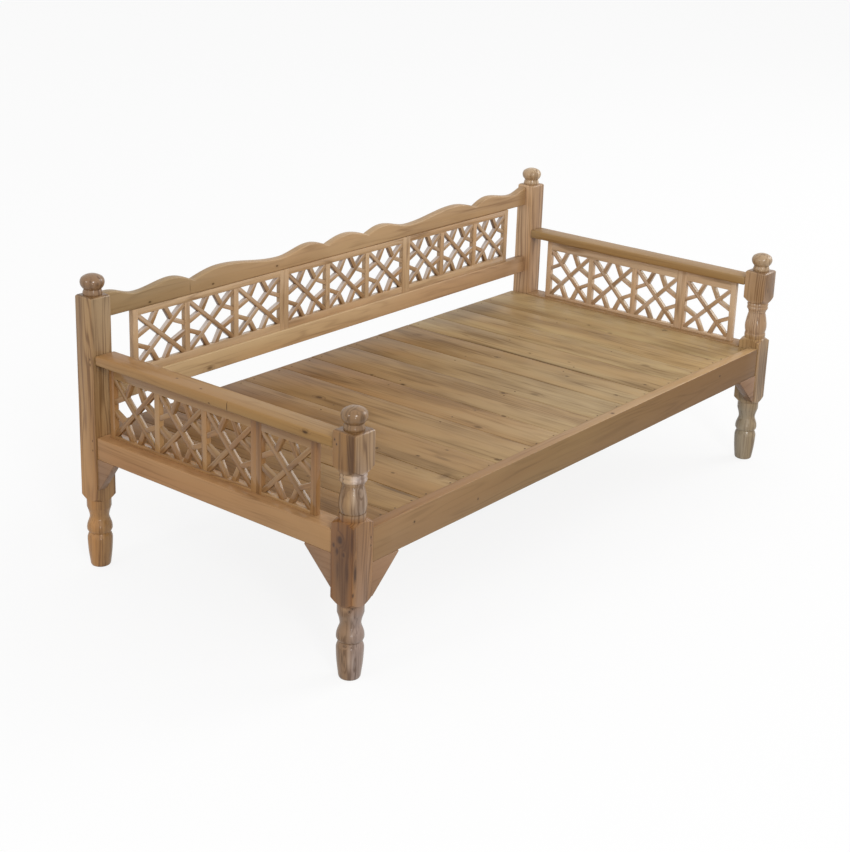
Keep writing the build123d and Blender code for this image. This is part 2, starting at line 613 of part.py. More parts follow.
# --- Assembly -----------------------------------------------------------------------------------
def build():
    """Every node of the takht by name; a node is one solid or a group of separate ones."""
    nodes = {}
    tenons = []

    for name, board in (("front_rail", FRONT_RAIL), ("rear_rail", REAR_RAIL), ("back_rail", BACK_RAIL)):
        nodes[name], limits = tenoned_board(board, Axis.X)
        tenons.append(limits)
    nodes["crest_rail"], limits = crest_rail()
    tenons.append(limits)
    for name, sign in SIDES.items():
        rail = side_board(sign, SIDE_RAIL_INSET, (SIDE_RAIL_FOOT, SIDE_RAIL_TOP))
        nodes[f"side_rail_{name}"], limits = tenoned_board(rail, Axis.Y)
        tenons.append(limits)
        arm = side_board(sign, ARM_INSET, (ARM_TOP - ARM_THICK, ARM_TOP))
        nodes[f"arm_{name}"], limits = tenoned_board(arm, Axis.Y)
        tenons.append(limits)

    ledger_z = (DECK_UNDERSIDE - LEDGER_HEIGHT, DECK_UNDERSIDE)
    nodes["front_ledger"] = block(grown(FRONT_RAIL[0], -PLANK_END_GAP), LEDGER_Y, ledger_z)
    bearer_z = (DECK_UNDERSIDE - BEARER_HEIGHT, DECK_UNDERSIDE)
    for name, y in (("front_bearer", -BEARER_AT), ("rear_bearer", BEARER_AT)):
        beam = (FRONT_RAIL[0], grown((y, y), BEARER_WIDTH / 2), bearer_z)
        nodes[name], limits = tenoned_board(beam, Axis.X, BEARER_TENON)
        for side in SIDES:
            nodes[f"side_rail_{side}"] -= mortise(limits)

    places = nail_places()
    nails = [[Pos(x, y, DECK_TOP) * nail() for x, y in row] for row in places]
    for number, (limits, row) in enumerate(zip(plank_limits(), nails), start=1):
        nodes[f"plank_{number:02d}"] = plank(limits) - row
    held_in = {"front_ledger": (0, 1), "front_bearer": (2,), "rear_bearer": (3,), "rear_rail": (4, 5)}
    for support, columns in held_in.items():
        nodes[support] -= [row[column] for row in nails for column in columns]
    nodes["deck_nails"] = [one for row in nails for one in row]

    for end, width, top in (("front", FRONT_POST, FRONT_POST_TOP), ("rear", REAR_POST, REAR_POST_TOP)):
        blank = turned_foot(post_blank(width, top))
        if end == "front":
            blank = turned_baluster(blank)
        y = (DEPTH - width) / 2 * (-1 if end == "front" else 1)
        for name, sign in SIDES.items():
            stand = Pos(sign * (LENGTH - width) / 2, y, 0)
            nodes[f"post_{end}_{name}"] = stand * blank - [mortise(limits) for limits in tenons]
            nodes[f"finial_{end}_{name}"] = stand * Pos(0, 0, top) * finial()

    nodes.update(brackets())
    for name, (frame, sticks) in {**back_panels(), **side_panels()}.items():
        nodes[f"{name}_frame"] = frame
        nodes[f"{name}_sticks"] = sticks
    return nodes


def as_shape(node):
    """A node to write: its solid, or a compound of its separate solids."""
    shapes = node if isinstance(node, list) else [node]
    solids = [solid for shape in shapes for solid in shape.solids()]
    return solids[0] if len(solids) == 1 else Compound(children=solids)


for node_name, node in build().items():
    export_step(as_shape(node), f"parts/{node_name}.step")
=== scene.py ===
"""Looks of a takht: a wooden daybed with turned posts, lattice panels and a plank deck.

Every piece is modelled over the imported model, in metres, and stands for one of its nodes.
"""

import math
import random
from contextlib import contextmanager

import bpy
from bpy.props import FloatProperty, FloatVectorProperty, PointerProperty
from mathutils import Matrix, Vector


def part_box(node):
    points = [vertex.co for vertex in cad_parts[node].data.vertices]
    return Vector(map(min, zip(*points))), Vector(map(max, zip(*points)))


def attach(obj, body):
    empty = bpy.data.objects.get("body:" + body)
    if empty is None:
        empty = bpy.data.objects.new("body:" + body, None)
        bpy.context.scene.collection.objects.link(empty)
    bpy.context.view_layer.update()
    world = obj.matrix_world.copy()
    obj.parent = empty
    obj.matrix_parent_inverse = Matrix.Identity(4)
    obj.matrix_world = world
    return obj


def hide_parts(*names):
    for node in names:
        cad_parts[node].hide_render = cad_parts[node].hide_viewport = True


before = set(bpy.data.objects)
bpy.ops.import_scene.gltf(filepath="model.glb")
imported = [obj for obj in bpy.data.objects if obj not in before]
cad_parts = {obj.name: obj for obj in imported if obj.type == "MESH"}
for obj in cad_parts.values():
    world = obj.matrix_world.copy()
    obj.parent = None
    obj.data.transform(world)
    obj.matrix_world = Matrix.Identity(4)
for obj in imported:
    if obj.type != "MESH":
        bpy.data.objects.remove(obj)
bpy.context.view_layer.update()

bl_info = {
    "name": "Takht daybed",
    "version": (1, 0, 0),
    "blender": (4, 5, 0),
    "location": "View3D > Sidebar > Takht",
    "description": "Models and finishes the pieces of a wooden takht",
    "category": "Add Mesh",
}

X, Y, Z = 0, 1, 2
TENON = 0.030  # a rail's tenons, hidden in the posts
BEARER_TENON = 0.015  # a bearer's, hidden in the side rails
SHOULDER_GAP = 0.0012  # the fine open line where a rail meets its post
SAWN_EDGE = 0.0015  # eased edges of the posts and brackets
INNER_EDGE = 0.001

# Outlines of the turned work, (radius, height).  A run of points is one smooth curve that goes on
# from the end of the run before, and each new run starts a sharp corner.
FOOT = (
    ((0.0, 0.0), (0.0215, 0.0)),
    ((0.0253, 0.0018), (0.0272, 0.006)),
    ((0.0318, 0.043), (0.0338, 0.078), (0.0325, 0.088), (0.0285, 0.098)),
    ((0.0335, 0.106), (0.034, 0.114), (0.0325, 0.123), (0.030, 0.130)),
    ((0.026, 0.143), (0.0278, 0.157), (0.033, 0.174)),
    ((0.033, 0.196),),
)
BALUSTER = (
    ((0.032, 0.413), (0.033, 0.4215), (0.032, 0.430)),
    ((0.0305, 0.430),),
    ((0.0335, 0.442), (0.034, 0.4566), (0.0305, 0.479), (0.0255, 0.500)),
    ((0.028, 0.500),),
    ((0.028, 0.508),),
    ((0.0315, 0.508),),
    ((0.0331, 0.51325), (0.0315, 0.5185)),
    ((0.0331, 0.52375), (0.0315, 0.529)),
)
FINIAL = (
    ((0.0, 0.0), (0.0245, 0.0)),
    ((0.0258, 0.0045), (0.0243, 0.0105)),
    ((0.0228, 0.015),),
    ((0.0296, 0.024), (0.032, 0.035), (0.0278, 0.0455), (0.0185, 0.0515)),
    ((0.0095, 0.0544), (0.0, 0.055)),
)
LATHE_STEPS = 72
LATHE_CLEARANCE = 0.01  # the lathe's outline goes on past the ends of a post
LATHE_SWING = 0.8  # and stays off its square blocks, as a share of their width
BLOCK_SHOULDER = 0.011  # how far the top of a lower block falls to its corners
POST_CHAMFER = 0.004
BRACKET_TIP = 0.004  # thickness left at the two sharp corners of a bracket

# The crest's top edge: (place along the crest from the middle of the wave, height)
CREST_MIDDLE = 0.022
CREST_WAVE = (
    (0.0, 0.751),
    (0.091, 0.732),
    (0.165, 0.750),
    (0.292, 0.730),
    (0.525, 0.7525),
    (0.636, 0.732),
    (0.712, 0.7535),
    (0.838, 0.7385),
    (0.936, 0.760),
)
CREST_NOTCHES = (0.091, 0.636)
CREST_BLANK = 0.730  # top of the blank before its wave is sawn
CREST_SPANS = 190

PLANKS = 13
PLANK_WEAR = 0.0006  # some planks have sunk by up to this much
NAIL_HEAD_DEPTH = 0.0012
NAIL_INSET = 0.026  # from a plank's side to its nails

STILE = 0.018
STICK = 0.013
STICK_REACH = 0.16  # half the length of a stick before it is sawn
JUNCTION_SHARE = 0.46  # where the short sticks leave a half diagonal
LANDING_SHARE = 0.19  # where they meet a bar or stile, off its middle
PANELS = {
    # name: (cells, top bar, bottom bar, turn of the panel about Z)
    "back_panel_left": (3, 0.018, 0.022, 0.0),
    "back_panel_centre": (3, 0.018, 0.022, 0.0),
    "back_panel_right": (3, 0.018, 0.022, 0.0),
    "left_panel_long": (3, 0.033, 0.009, -math.pi / 2),
    "left_panel_short": (1, 0.033, 0.009, -math.pi / 2),
    "right_panel_long": (3, 0.033, 0.009, -math.pi / 2),
    "right_panel_short": (1, 0.033, 0.009, -math.pi / 2),
}

DECK_TOP = 0.380
KNOT_ACROSS, KNOT_ALONG = 2.1, 3.2  # how many radii a knot's mark reaches across and along its plank
# Knots and specks in the deck: (x, y, radius, strength)
DECK_KNOTS = (
    (-0.416, -0.294, 0.004, 0.6),
    (-0.568, -0.314, 0.003, 0.7),
    (0.296, 0.076, 0.005, 0.7),
    (0.401, 0.026, 0.004, 0.8),
    (0.301, -0.183, 0.004, 0.8),
    (0.415, -0.112, 0.004, 0.7),
    (0.780, 0.059, 0.004, 0.8),
    (0.756, -0.040, 0.007, 0.4),
    (0.263, -0.382, 0.004, 0.9),
    (0.402, -0.394, 0.004, 0.9),
    (0.045, -0.135, 0.006, 0.9),
    (0.103, -0.207, 0.012, 0.35),
    (0.914, -0.152, 0.006, 0.7),
    (-0.535, -0.150, 0.005, 0.8),
    (-0.352, 0.223, 0.008, 0.8),
    (-0.500, 0.223, 0.010, 0.6),
    (0.746, -0.406, 0.004, 0.7),
    (-0.102, 0.121, 0.006, 0.9),
    (-0.100, 0.243, 0.005, 0.7),
    (-0.225, -0.250, 0.010, 0.5),
    (-0.107, -0.249, 0.006, 0.7),
    (-0.376, -0.430, 0.008, 0.7),
    (-0.125, -0.163, 0.003, 0.7),
    (-0.632, -0.291, 0.005, 0.6),
    (-0.500, -0.264, 0.005, 0.8),
    (0.555, -0.300, 0.014, 0.4),
)

# Dark lines in the deck, along joints and at the ends of the planks, and a painted shadow of the back rail:
# (x, y, reach in x, reach in y, strength)
DECK_STAINS_AND_SHADOW = (
    (-0.715, -0.370, 0.016, 0.200, 0.62),
    (0.361, 0.000, 0.017, 0.520, 0.55),
    (0.210, -0.120, 0.015, 0.500, 0.35),
    (0.940, 0.190, 0.016, 0.260, 0.45),
    (-0.560, -0.400, 0.060, 0.030, 0.30),
    (-0.470, -0.322, 0.018, 0.070, 0.35),
    # painted shadow of the back rail on the rear right of the deck
    (0.640, 0.430, 0.420, 0.150, 0.32),
    (0.000, -0.4545, 3.000, 0.006, 0.75),
)

# Marks on the other woods: (centre, reach each way, strength); a strength under 0 makes a pale streak, a
# painted highlight
POST_MARKS = (
    ((-1.000, -0.455, 0.310), (0.008, 0.075, 0.260), 0.34),
    ((-1.000, -0.444, 0.366), (0.010, 0.021, 0.032), 0.9),
    ((-1.000, -0.424, 0.348), (0.008, 0.010, 0.016), 0.8),
    ((-1.000, -0.435, 0.335), (0.008, 0.014, 0.022), 0.8),
    ((-1.000, -0.455, 0.332), (0.008, 0.012, 0.020), 0.8),
    ((-1.000, -0.466, 0.292), (0.008, 0.018, 0.090), 0.6),
    ((-1.000, -0.438, 0.290), (0.008, 0.014, 0.090), 0.5),
    ((-1.000, -0.480, 0.370), (0.008, 0.010, 0.100), 0.7),
    ((-0.992, -0.485, 0.290), (0.012, 0.010, 0.062), 0.95),
    ((-0.998, -0.485, 0.237), (0.008, 0.008, 0.014), 0.8),
    ((-1.000, -0.471, 0.590), (0.006, 0.030, 0.300), 0.55),
    ((-1.000, -0.437, 0.590), (0.006, 0.008, 0.240), 0.4),
    # Painted highlights on the turned parts of the front left post
    ((-0.9896, -0.4729, 0.490), (0.008, 0.008, 0.045), -1.0),
    ((-0.9957, -0.4636, 0.480), (0.007, 0.007, 0.060), -0.5),
    ((-0.9882, -0.4717, 0.521), (0.014, 0.014, 0.010), -0.9),
    ((-0.9952, -0.4647, 0.150), (0.007, 0.007, 0.040), -0.6),
    ((-0.9883, -0.4742, 0.150), (0.007, 0.007, 0.040), -0.8),
    ((-0.9920, -0.4700, 0.055), (0.006, 0.006, 0.050), -0.8),
    ((-0.9846, -0.4773, 0.050), (0.006, 0.006, 0.045), -0.6),
    ((-0.9970, -0.4604, 0.192), (0.010, 0.016, 0.012), -0.6),
    ((-0.9769, -0.4814, 0.489), (0.016, 0.014, 0.024), 0.75),
    ((-0.9827, -0.4786, 0.150), (0.010, 0.008, 0.050), 0.5),
    ((-0.9983, -0.4543, 0.060), (0.010, 0.006, 0.050), 0.5),
    ((-0.9964, -0.4619, 0.486), (0.008, 0.006, 0.010), 0.6),
    ((-0.9923, -0.4696, 0.188), (0.008, 0.008, 0.008), 1.0),
    ((-0.9874, -0.4750, 0.195), (0.008, 0.008, 0.008), 0.8),
    ((-0.9978, -0.4571, 0.156), (0.008, 0.008, 0.010), 0.7),
    ((-0.9976, -0.4579, 0.095), (0.012, 0.012, 0.009), 0.9),
    ((-0.9900, -0.4724, 0.099), (0.010, 0.010, 0.006), 0.6),
    ((-0.9971, -0.4598, 0.044), (0.008, 0.006, 0.036), 0.45),
    ((-0.9814, -0.4793, 0.045), (0.006, 0.008, 0.036), 0.45),
    ((0.970, -0.485, 0.585), (0.070, 0.006, 0.160), 0.42),
    ((0.970, -0.485, 0.310), (0.070, 0.006, 0.260), 0.40),
    ((-1.000, -0.422, 0.610), (0.008, 0.005, 0.008), 1.0),
    ((-1.000, -0.428, 0.600), (0.008, 0.005, 0.008), 1.0),
    *(((-1.000, 0.433, z), (0.006, 0.004, 0.006), 1.0) for z in (0.598, 0.583, 0.372, 0.345)),
    *(((-0.938, -0.485, z), (0.004, 0.006, 0.006), 1.0) for z in (0.366, 0.345)),
    ((0.955, -0.485, 0.575), (0.020, 0.020, 0.030), 0.6),
    ((0.993, -0.485, 0.565), (0.008, 0.010, 0.030), 1.0),
)
RAIL_MARKS = (
    ((-0.568, 0.442, 0.467), (0.030, 0.010, 0.014), 0.6),
    ((-0.9965, -0.068, 0.597), (0.020, 0.0035, 0.030), 1.0),
    ((-0.9965, -0.326, 0.601), (0.020, 0.022, 0.010), 0.9),
    ((-0.9965, -0.006, 0.590), (0.006, 0.008, 0.005), 0.9),
    ((-0.976, 0.043, 0.610), (0.008, 0.010, 0.006), 0.9),
    ((-0.964, 0.142, 0.610), (0.008, 0.010, 0.006), 0.8),
    ((-0.778, -0.484, 0.352), (0.008, 0.010, 0.008), 0.9),
    ((-0.526, -0.484, 0.332), (0.008, 0.010, 0.008), 0.8),
    ((0.108, -0.470, 0.388), (0.016, 0.014, 0.008), 0.8),
    ((0.693, -0.484, 0.356), (0.012, 0.010, 0.008), 0.8),
    ((-0.777, 0.4505, 0.703), (0.012, 0.010, 0.007), 0.9),
    ((-0.545, 0.4505, 0.707), (0.012, 0.010, 0.007), 0.9),
    ((-0.291, 0.4505, 0.710), (0.012, 0.010, 0.007), 0.9),
    ((-0.631, 0.4505, 0.712), (0.003, 0.010, 0.030), 0.6),
)

# Each board has a tone of its own with painted light and shade laid over it, made of layers that multiply:
# the back and right pieces are painted lighter, and some sides, tops and ends are painted lighter or darker
# for how light falls on them.  A layer holds an axis and stops; a stop is a place along the axis, or how
# far the surface faces along it, and the tint there.
FACING_Y, FACING_Z, LEANING = 4, 5, 6


def layer(axis, *stops):
    """A tint that changes along an axis; each stop is a place and its red, green and blue."""
    return axis, tuple((place, tint) for place, *tint in stops)


def even(*tint):
    """A tint that is the same all over."""
    return layer(X, (0.0, *tint))


def front_post_parts(foot, block, baluster):
    """A front post's tints: its foot, its lower block, and its baluster with all above."""
    return layer(Z, (0.19, *foot), (0.21, *block), (0.42, *block), (0.43, *baluster))


# Partly the deck's own tone and partly painted light: painted darker to the left and lighter to the right
DECK_TONE_AND_LIGHT = layer(
    X,
    (-0.90, 0.74, 0.64, 0.52),
    (-0.45, 0.94, 0.90, 0.86),
    (-0.05, 0.94, 0.93, 0.96),
    (0.13, 1.10, 1.19, 1.32),
    (0.43, 0.94, 0.95, 0.97),
    (0.90, 1.27, 1.33, 1.38),
)
TINTS = {
    # start of a piece's name: its layers
    # Planks 1 to 9 get a painted shadow along their rear ends, under the back rail
    "plank_0": [DECK_TONE_AND_LIGHT, layer(Y, (-0.45, 1.04, 1.05, 1.08), (0.46, 0.70, 0.58, 0.43))],
    "plank_1": [DECK_TONE_AND_LIGHT, layer(Y, (-0.45, 1.05, 1.06, 1.06), (0.46, 0.98, 0.98, 0.98))],
    "front_rail": [
        layer(
            X,
            (-0.85, 0.72, 0.71, 0.70),
            (-0.25, 0.56, 0.52, 0.38),
            (0.45, 0.44, 0.34, 0.17),
            (0.93, 0.40, 0.29, 0.12),
        ),
    ],
    "back_rail": [layer(X, (-0.30, 1.25, 1.38, 1.50), (0.50, 1.14, 1.21, 1.42))],
    # The crest is painted darker at its left end, a painted shadow of the rear left post
    "crest_rail": [
        layer(X, (-0.85, 0.82, 0.93, 1.00), (-0.20, 1.13, 1.21, 1.35), (0.80, 1.02, 1.01, 1.03)),
    ],
    "side_rail_left": [layer(Y, (-0.30, 1.02, 0.98, 0.95), (0.30, 1.02, 0.87, 0.75))],
    "side_rail_right": [even(0.84, 0.79, 0.73)],
    "arm_left": [layer(Y, (-0.20, 0.80, 0.72, 0.50), (0.35, 0.91, 0.82, 0.68))],
    "arm_right": [even(0.88, 0.87, 0.73)],
    "back_panel": [even(1.25, 1.33, 1.50)],
    # The left panels' top bars, above 0.556, get a painted shadow from the arm over them
    "left_panel": [even(0.93, 0.84, 0.70), layer(Z, (0.550, 1.0, 1.0, 1.0), (0.556, 0.72, 0.60, 0.42))],
    "right_panel": [even(1.52, 1.74, 2.25)],
    "bracket": [even(0.71, 0.64, 0.71)],
    # Each post's layer along FACING_Y paints light and shade on its sides: the faces to the front are
    # painted lighter or darker than the rest
    "post_front_left": [
        front_post_parts((0.78, 0.80, 0.98), (0.83, 0.60, 0.33), (0.91, 0.90, 0.92)),
        # A painted highlight, paler and bluer, on the beads at the top of the baluster
        layer(
            Z,
            (0.505, 1.0, 1.0, 1.0),
            (0.51, 1.40, 1.56, 1.95),
            (0.529, 1.40, 1.56, 1.95),
            (0.54, 0.91, 0.79, 0.56),
        ),
        layer(FACING_Y, (-0.9, 1.06, 1.18, 1.50), (-0.4, 0.97, 0.90, 0.76)),
    ],
    "post_front_right": [
        front_post_parts((1.10, 1.38, 1.75), (1.32, 1.34, 1.20), (1.53, 1.65, 1.95)),
        layer(Z, (0.529, 1.0, 1.0, 1.0), (0.54, 0.79, 0.72, 0.60)),
        layer(FACING_Y, (-0.9, 0.82, 0.76, 0.66), (-0.4, 1.06, 1.08, 1.12)),
    ],
    "post_rear_left": [
        layer(Z, (0.19, 1.26, 0.99, 0.62), (0.30, 1.27, 1.09, 0.79), (0.60, 1.06, 1.00, 0.86)),
        layer(FACING_Y, (-0.9, 0.84, 0.93, 1.06), (-0.4, 1.02, 1.04, 1.06)),
    ],
    "post_rear_right": [
        even(1.54, 1.56, 1.64),
        layer(FACING_Y, (-0.9, 0.80, 0.77, 0.72), (-0.4, 1.14, 1.16, 1.20)),
    ],
    "finial_front_left": [even(0.70, 0.67, 0.62)],
    "finial_front_right": [even(1.24, 1.37, 1.55)],
    "finial_rear_left": [even(0.72, 0.66, 0.65)],
    "finial_rear_right": [even(1.52, 1.72, 2.00)],
}
# Tops get painted light and shade of their own: that of the front rail goes with the deck, painted darker
# at its left end and lighter at its right, and those of the left posts are painted dark
TOP_FACING = 0.75  # a face that looks up by more than this is a top
TOP_LIGHT_AND_SHADE = {
    "front_rail": [
        layer(
            X,
            (-0.85, 0.70, 0.60, 0.46),
            (-0.20, 0.82, 0.76, 0.70),
            (0.50, 1.08, 1.08, 1.05),
            (0.93, 1.2, 1.25, 1.25),
        ),
    ],
    "post_front": [layer(X, (-0.95, 0.55, 0.44, 0.30), (0.95, 0.90, 0.85, 0.80))],
    "post_rear": [layer(X, (-0.95, 0.60, 0.50, 0.36), (0.95, 1.10, 1.05, 1.00))],
}
# Painted light on the sticks: a pale painted highlight on the sides that face up, painted shade on those
# that face down, and the sticks of one lean painted darker
STICK_LIGHT_AND_SHADE = [
    layer(
        FACING_Z,
        (-0.45, 0.75, 0.68, 0.58),
        (-0.12, 1.0, 1.0, 1.0),
        (0.12, 1.0, 1.0, 1.0),
        (0.45, 1.30, 1.65, 2.5),
    ),
    layer(LEANING, (-0.06, 1.04, 1.06, 1.12), (0.06, 0.56, 0.44, 0.26)),
]
PIECE_TONE = (0.97, 1.03)  # the tones of like pieces lie between these
TRUNK_LENGTH = 60.0  # pieces are cut anywhere along this much wood

NAIL_IRON = (0.12, 0.075, 0.045)
NAIL_ROUGHNESS = 0.6
RINGS_PER_METRE = 85.0
RING_WANDER = 8.0  # how many rings a growth line strays by
RING_SWELL = 2.5  # how many it bends round a knot
LATE_WOOD, CLOUDS, STREAKS, HALO = 0.34, 0.26, 0.34, 0.35  # how much each darkens the wood

# The room: softboxes as (name, place, size, share of the key light's power)
SOFTBOXES = (
    ("front softbox", (-5.6, -8.2, 5.6), 2.2, 1.0),
    ("low softbox", (-6.6, -7.4, 0.9), 0.8, 0.20),
    ("side softbox", (-9.5, 1.0, 4.6), 2.2, 0.35),
    ("far softbox", (6.9, -3.8, 4.7), 5.6, 0.95),
)
LIT_POINT = Vector((0.0, 0.0, 0.4))
WHITE = (1.0, 1.0, 1.0, 1.0)
FLOOR_WIDTH = 120.0
FLOOR_SEEN, FLOOR_UNSEEN = (0.86, 0.86, 0.86, 1.0), (0.40, 0.40, 0.40, 1.0)
FLOOR_GLOW = 0.86  # how much of the seen floor is plain white
SENSOR_WIDTH = 36.0
LENS_SHIFT = -86 / 852  # the view lies this share of its height below the lens's middle


def wood_colour(name, description, default):
    """A property for the colour of a wood."""
    return FloatVectorProperty(
        name=name, description=description, subtype="COLOR", default=default, min=0.0, max=1.0
    )


def finish_size(name, description, default, low, high):
    """A property for a size of the hand finish, in metres."""
    return FloatProperty(
        name=name, description=description, unit="LENGTH", default=default, min=low, max=high
    )


def camera_angle(name, description, degrees):
    """A property for an angle of the camera."""
    return FloatProperty(
        name=name, description=description, subtype="ANGLE", default=math.radians(degrees)
    )


class TakhtWood(bpy.types.PropertyGroup):
    """Colours and varnish of the woods."""

    deck: wood_colour("Deck", "Pale wood of the deck planks", (0.390, 0.258, 0.118))
    rail: wood_colour("Rails", "Pale wood of the rails, arms and crest", (0.390, 0.240, 0.115))
    post: wood_colour("Posts", "Pale wood of the posts and finials", (0.330, 0.205, 0.105))
    lattice: wood_colour("Lattice", "Pale wood of the lattice", (0.380, 0.235, 0.115))
    varnish: FloatProperty(
        name="Varnish", description="Strength of the clear coat", subtype="FACTOR",
        default=0.10, min=0.0, max=1.0,
    )


class TakhtSizes(bpy.types.PropertyGroup):
    """Sizes of the hand finish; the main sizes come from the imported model."""

    rail_edge: finish_size("Rail edge", "Radius of the eased rail edges", 0.0025, 0.0005, 0.008)
    crest_edge: finish_size("Crest edge", "Radius of the rubbed edges of the crest", 0.0045, 0.0005, 0.008)
    arm_edge: finish_size("Arm edge", "Radius of the rubbed arm edges", 0.006, 0.0005, 0.012)
    plank_edge: finish_size("Plank edge", "Radius of the eased plank edges", 0.0009, 0.0002, 0.004)
    stick_edge: finish_size("Stick edge", "Radius of the eased lattice edges", 0.0006, 0.0002, 0.004)
    planing: finish_size("Planing", "Height of the waves left by hand planing", 0.0008, 0.0, 0.003)
    nail_head: finish_size("Nail head", "Width of a square nail head", 0.005, 0.002, 0.010)


class TakhtStage(bpy.types.PropertyGroup):
    """Camera and lights."""

    camera: FloatVectorProperty(
        name="Camera", description="Where the camera stands", subtype="XYZ", unit="LENGTH",
        default=(-3.56775, -2.73077, 1.96820),
    )
    azimuth: camera_angle("Azimuth", "Heading of the camera from +Y towards +X", 51.3188)
    dip: camera_angle("Dip", "How far the camera looks below the horizon", 17.9006)
    roll: camera_angle("Roll", "Lean of the camera about its line of sight", 1.9344)
    lens: FloatProperty(
        name="Lens", description="Focal length on a 36 mm sensor", subtype="DISTANCE_CAMERA",
        default=68.753, min=10.0, max=200.0,
    )
    key: FloatProperty(
        name="Key light", description="Power of the front softbox", unit="POWER",
        default=350.0, min=0.0,
    )
    sky: FloatProperty(
        name="Sky", description="Strength of the even light all round", default=0.70, min=0.0,
    )


# --- Finishes ---
class Level:
    """A number that varies over a surface; arithmetic on it adds Math nodes."""

    def __init__(self, finish, socket):
        self.finish = finish
        self.socket = socket

    def maths(self, operation, *values):
        sockets = dict(enumerate((self, *values)))
        node = self.finish.add("Math", {"operation": operation}, sockets)
        return Level(self.finish, node.outputs[0])

    def __add__(self, other):
        return self.maths("ADD", other)

    def __rsub__(self, other):
        return (self * -1.0).maths("ADD", other)

    def __mul__(self, other):
        return self.maths("MULTIPLY", other)

    def __pow__(self, power):
        return self.maths("POWER", power)

    __radd__ = __add__
    __rmul__ = __mul__

    def between(self, low, high):
        """0 below low, 1 above high and a smooth rise from one to the other."""
        settings = {"interpolation_type": "SMOOTHSTEP"}
        ends = {"Value": self, "From Min": low, "From Max": high}
        return Level(self.finish, self.finish.add("MapRange", settings, ends).outputs[0])


class Finish:
    """The shader nodes of a material, or of the room, being put together."""

    def __init__(self, owner):
        owner.use_nodes = True
        self.owner = owner
        self.tree = owner.node_tree

    def first(self, kind):
        """The node of a kind that was there from the start."""
        return next(node for node in self.tree.nodes if node.type == kind)

    def set_surface(self, sockets):
        """Set or link sockets of a material's surface."""
        for name, value in sockets.items():
            self.join(value, self.first("BSDF_PRINCIPLED").inputs[name])

    def add(self, kind, settings=None, sockets=None):
        """Add a shader node: its own settings first, then the values or links of its sockets."""
        node = self.tree.nodes.new("ShaderNode" + kind)
        for name, value in (settings or {}).items():
            setattr(node, name, value)
        for name, value in (sockets or {}).items():
            self.join(value, node.inputs[name])
        return node

    def join(self, value, socket):
        """Set a socket to a number or colour, or link what varies to it."""
        if isinstance(value, Level):
            value = value.socket
        if isinstance(value, bpy.types.NodeSocket):
            self.tree.links.new(value, socket)
        else:
            socket.default_value = value

    def stretched(self, place, stretch):
        """A place with each of its axes scaled, or a colour with each of its parts."""
        node = self.add("VectorMath", {"operation": "MULTIPLY"}, {0: place, 1: stretch})
        return node.outputs[0]

    def noise(self, place, stretch, detail=2.0, roughness=0.5):
        """Soft noise, finer along an axis the more that axis is stretched."""
        sockets = {"Vector": self.stretched(place, stretch), "Scale": 1.0}
        sockets.update({"Detail": detail, "Roughness": roughness})
        return Level(self, self.add("TexNoise", {"noise_dimensions": "3D"}, sockets).outputs[0])

    def mix(self, amount, first, second):
        """A colour between two others."""
        return self.add("Mix", {"data_type": "RGBA"}, {0: amount, 6: first, 7: second}).outputs[2]

    def distance(self, place, point):
        """How far a place is from a point."""
        node = self.add("VectorMath", {"operation": "DISTANCE"}, {0: place, 1: point})
        return Level(self, node.outputs["Value"])


def shade(colour, amount, warmth=0.0):
    """A colour made darker (amount under 1) and warmer, with its alpha."""
    red, green, blue = colour
    return (red * amount, green * amount * (1 - warmth), blue * amount * (1 - 2 * warmth), 1.0)


def greater(first, second):
    """The greater of two levels, where the first may be missing."""
    return second if first is None else first.maths("MAXIMUM", second)


def marks_on(finish, marks):
    """Three levels: the eyes of dark marks, their halos, and painted highlights as pale streaks."""
    place = finish.add("TexCoord").outputs["Object"]
    fitted = {}
    eye = halo = painted_highlight = None
    for centre, reach, strength in marks:
        if reach not in fitted:
            fitted[reach] = finish.stretched(place, tuple(1 / length for length in reach))
        at = tuple(here / length for here, length in zip(centre, reach))
        near = (1.0 - finish.distance(fitted[reach], at)).maths("MAXIMUM", 0.0)
        # a strength under 0 is a painted highlight
        if strength < 0:
            painted_highlight = greater(painted_highlight, near * -strength)
        else:
            eye = greater(eye, near.between(0.45, 0.85) * strength)
            halo = greater(halo, near * strength)
    return eye, halo, painted_highlight


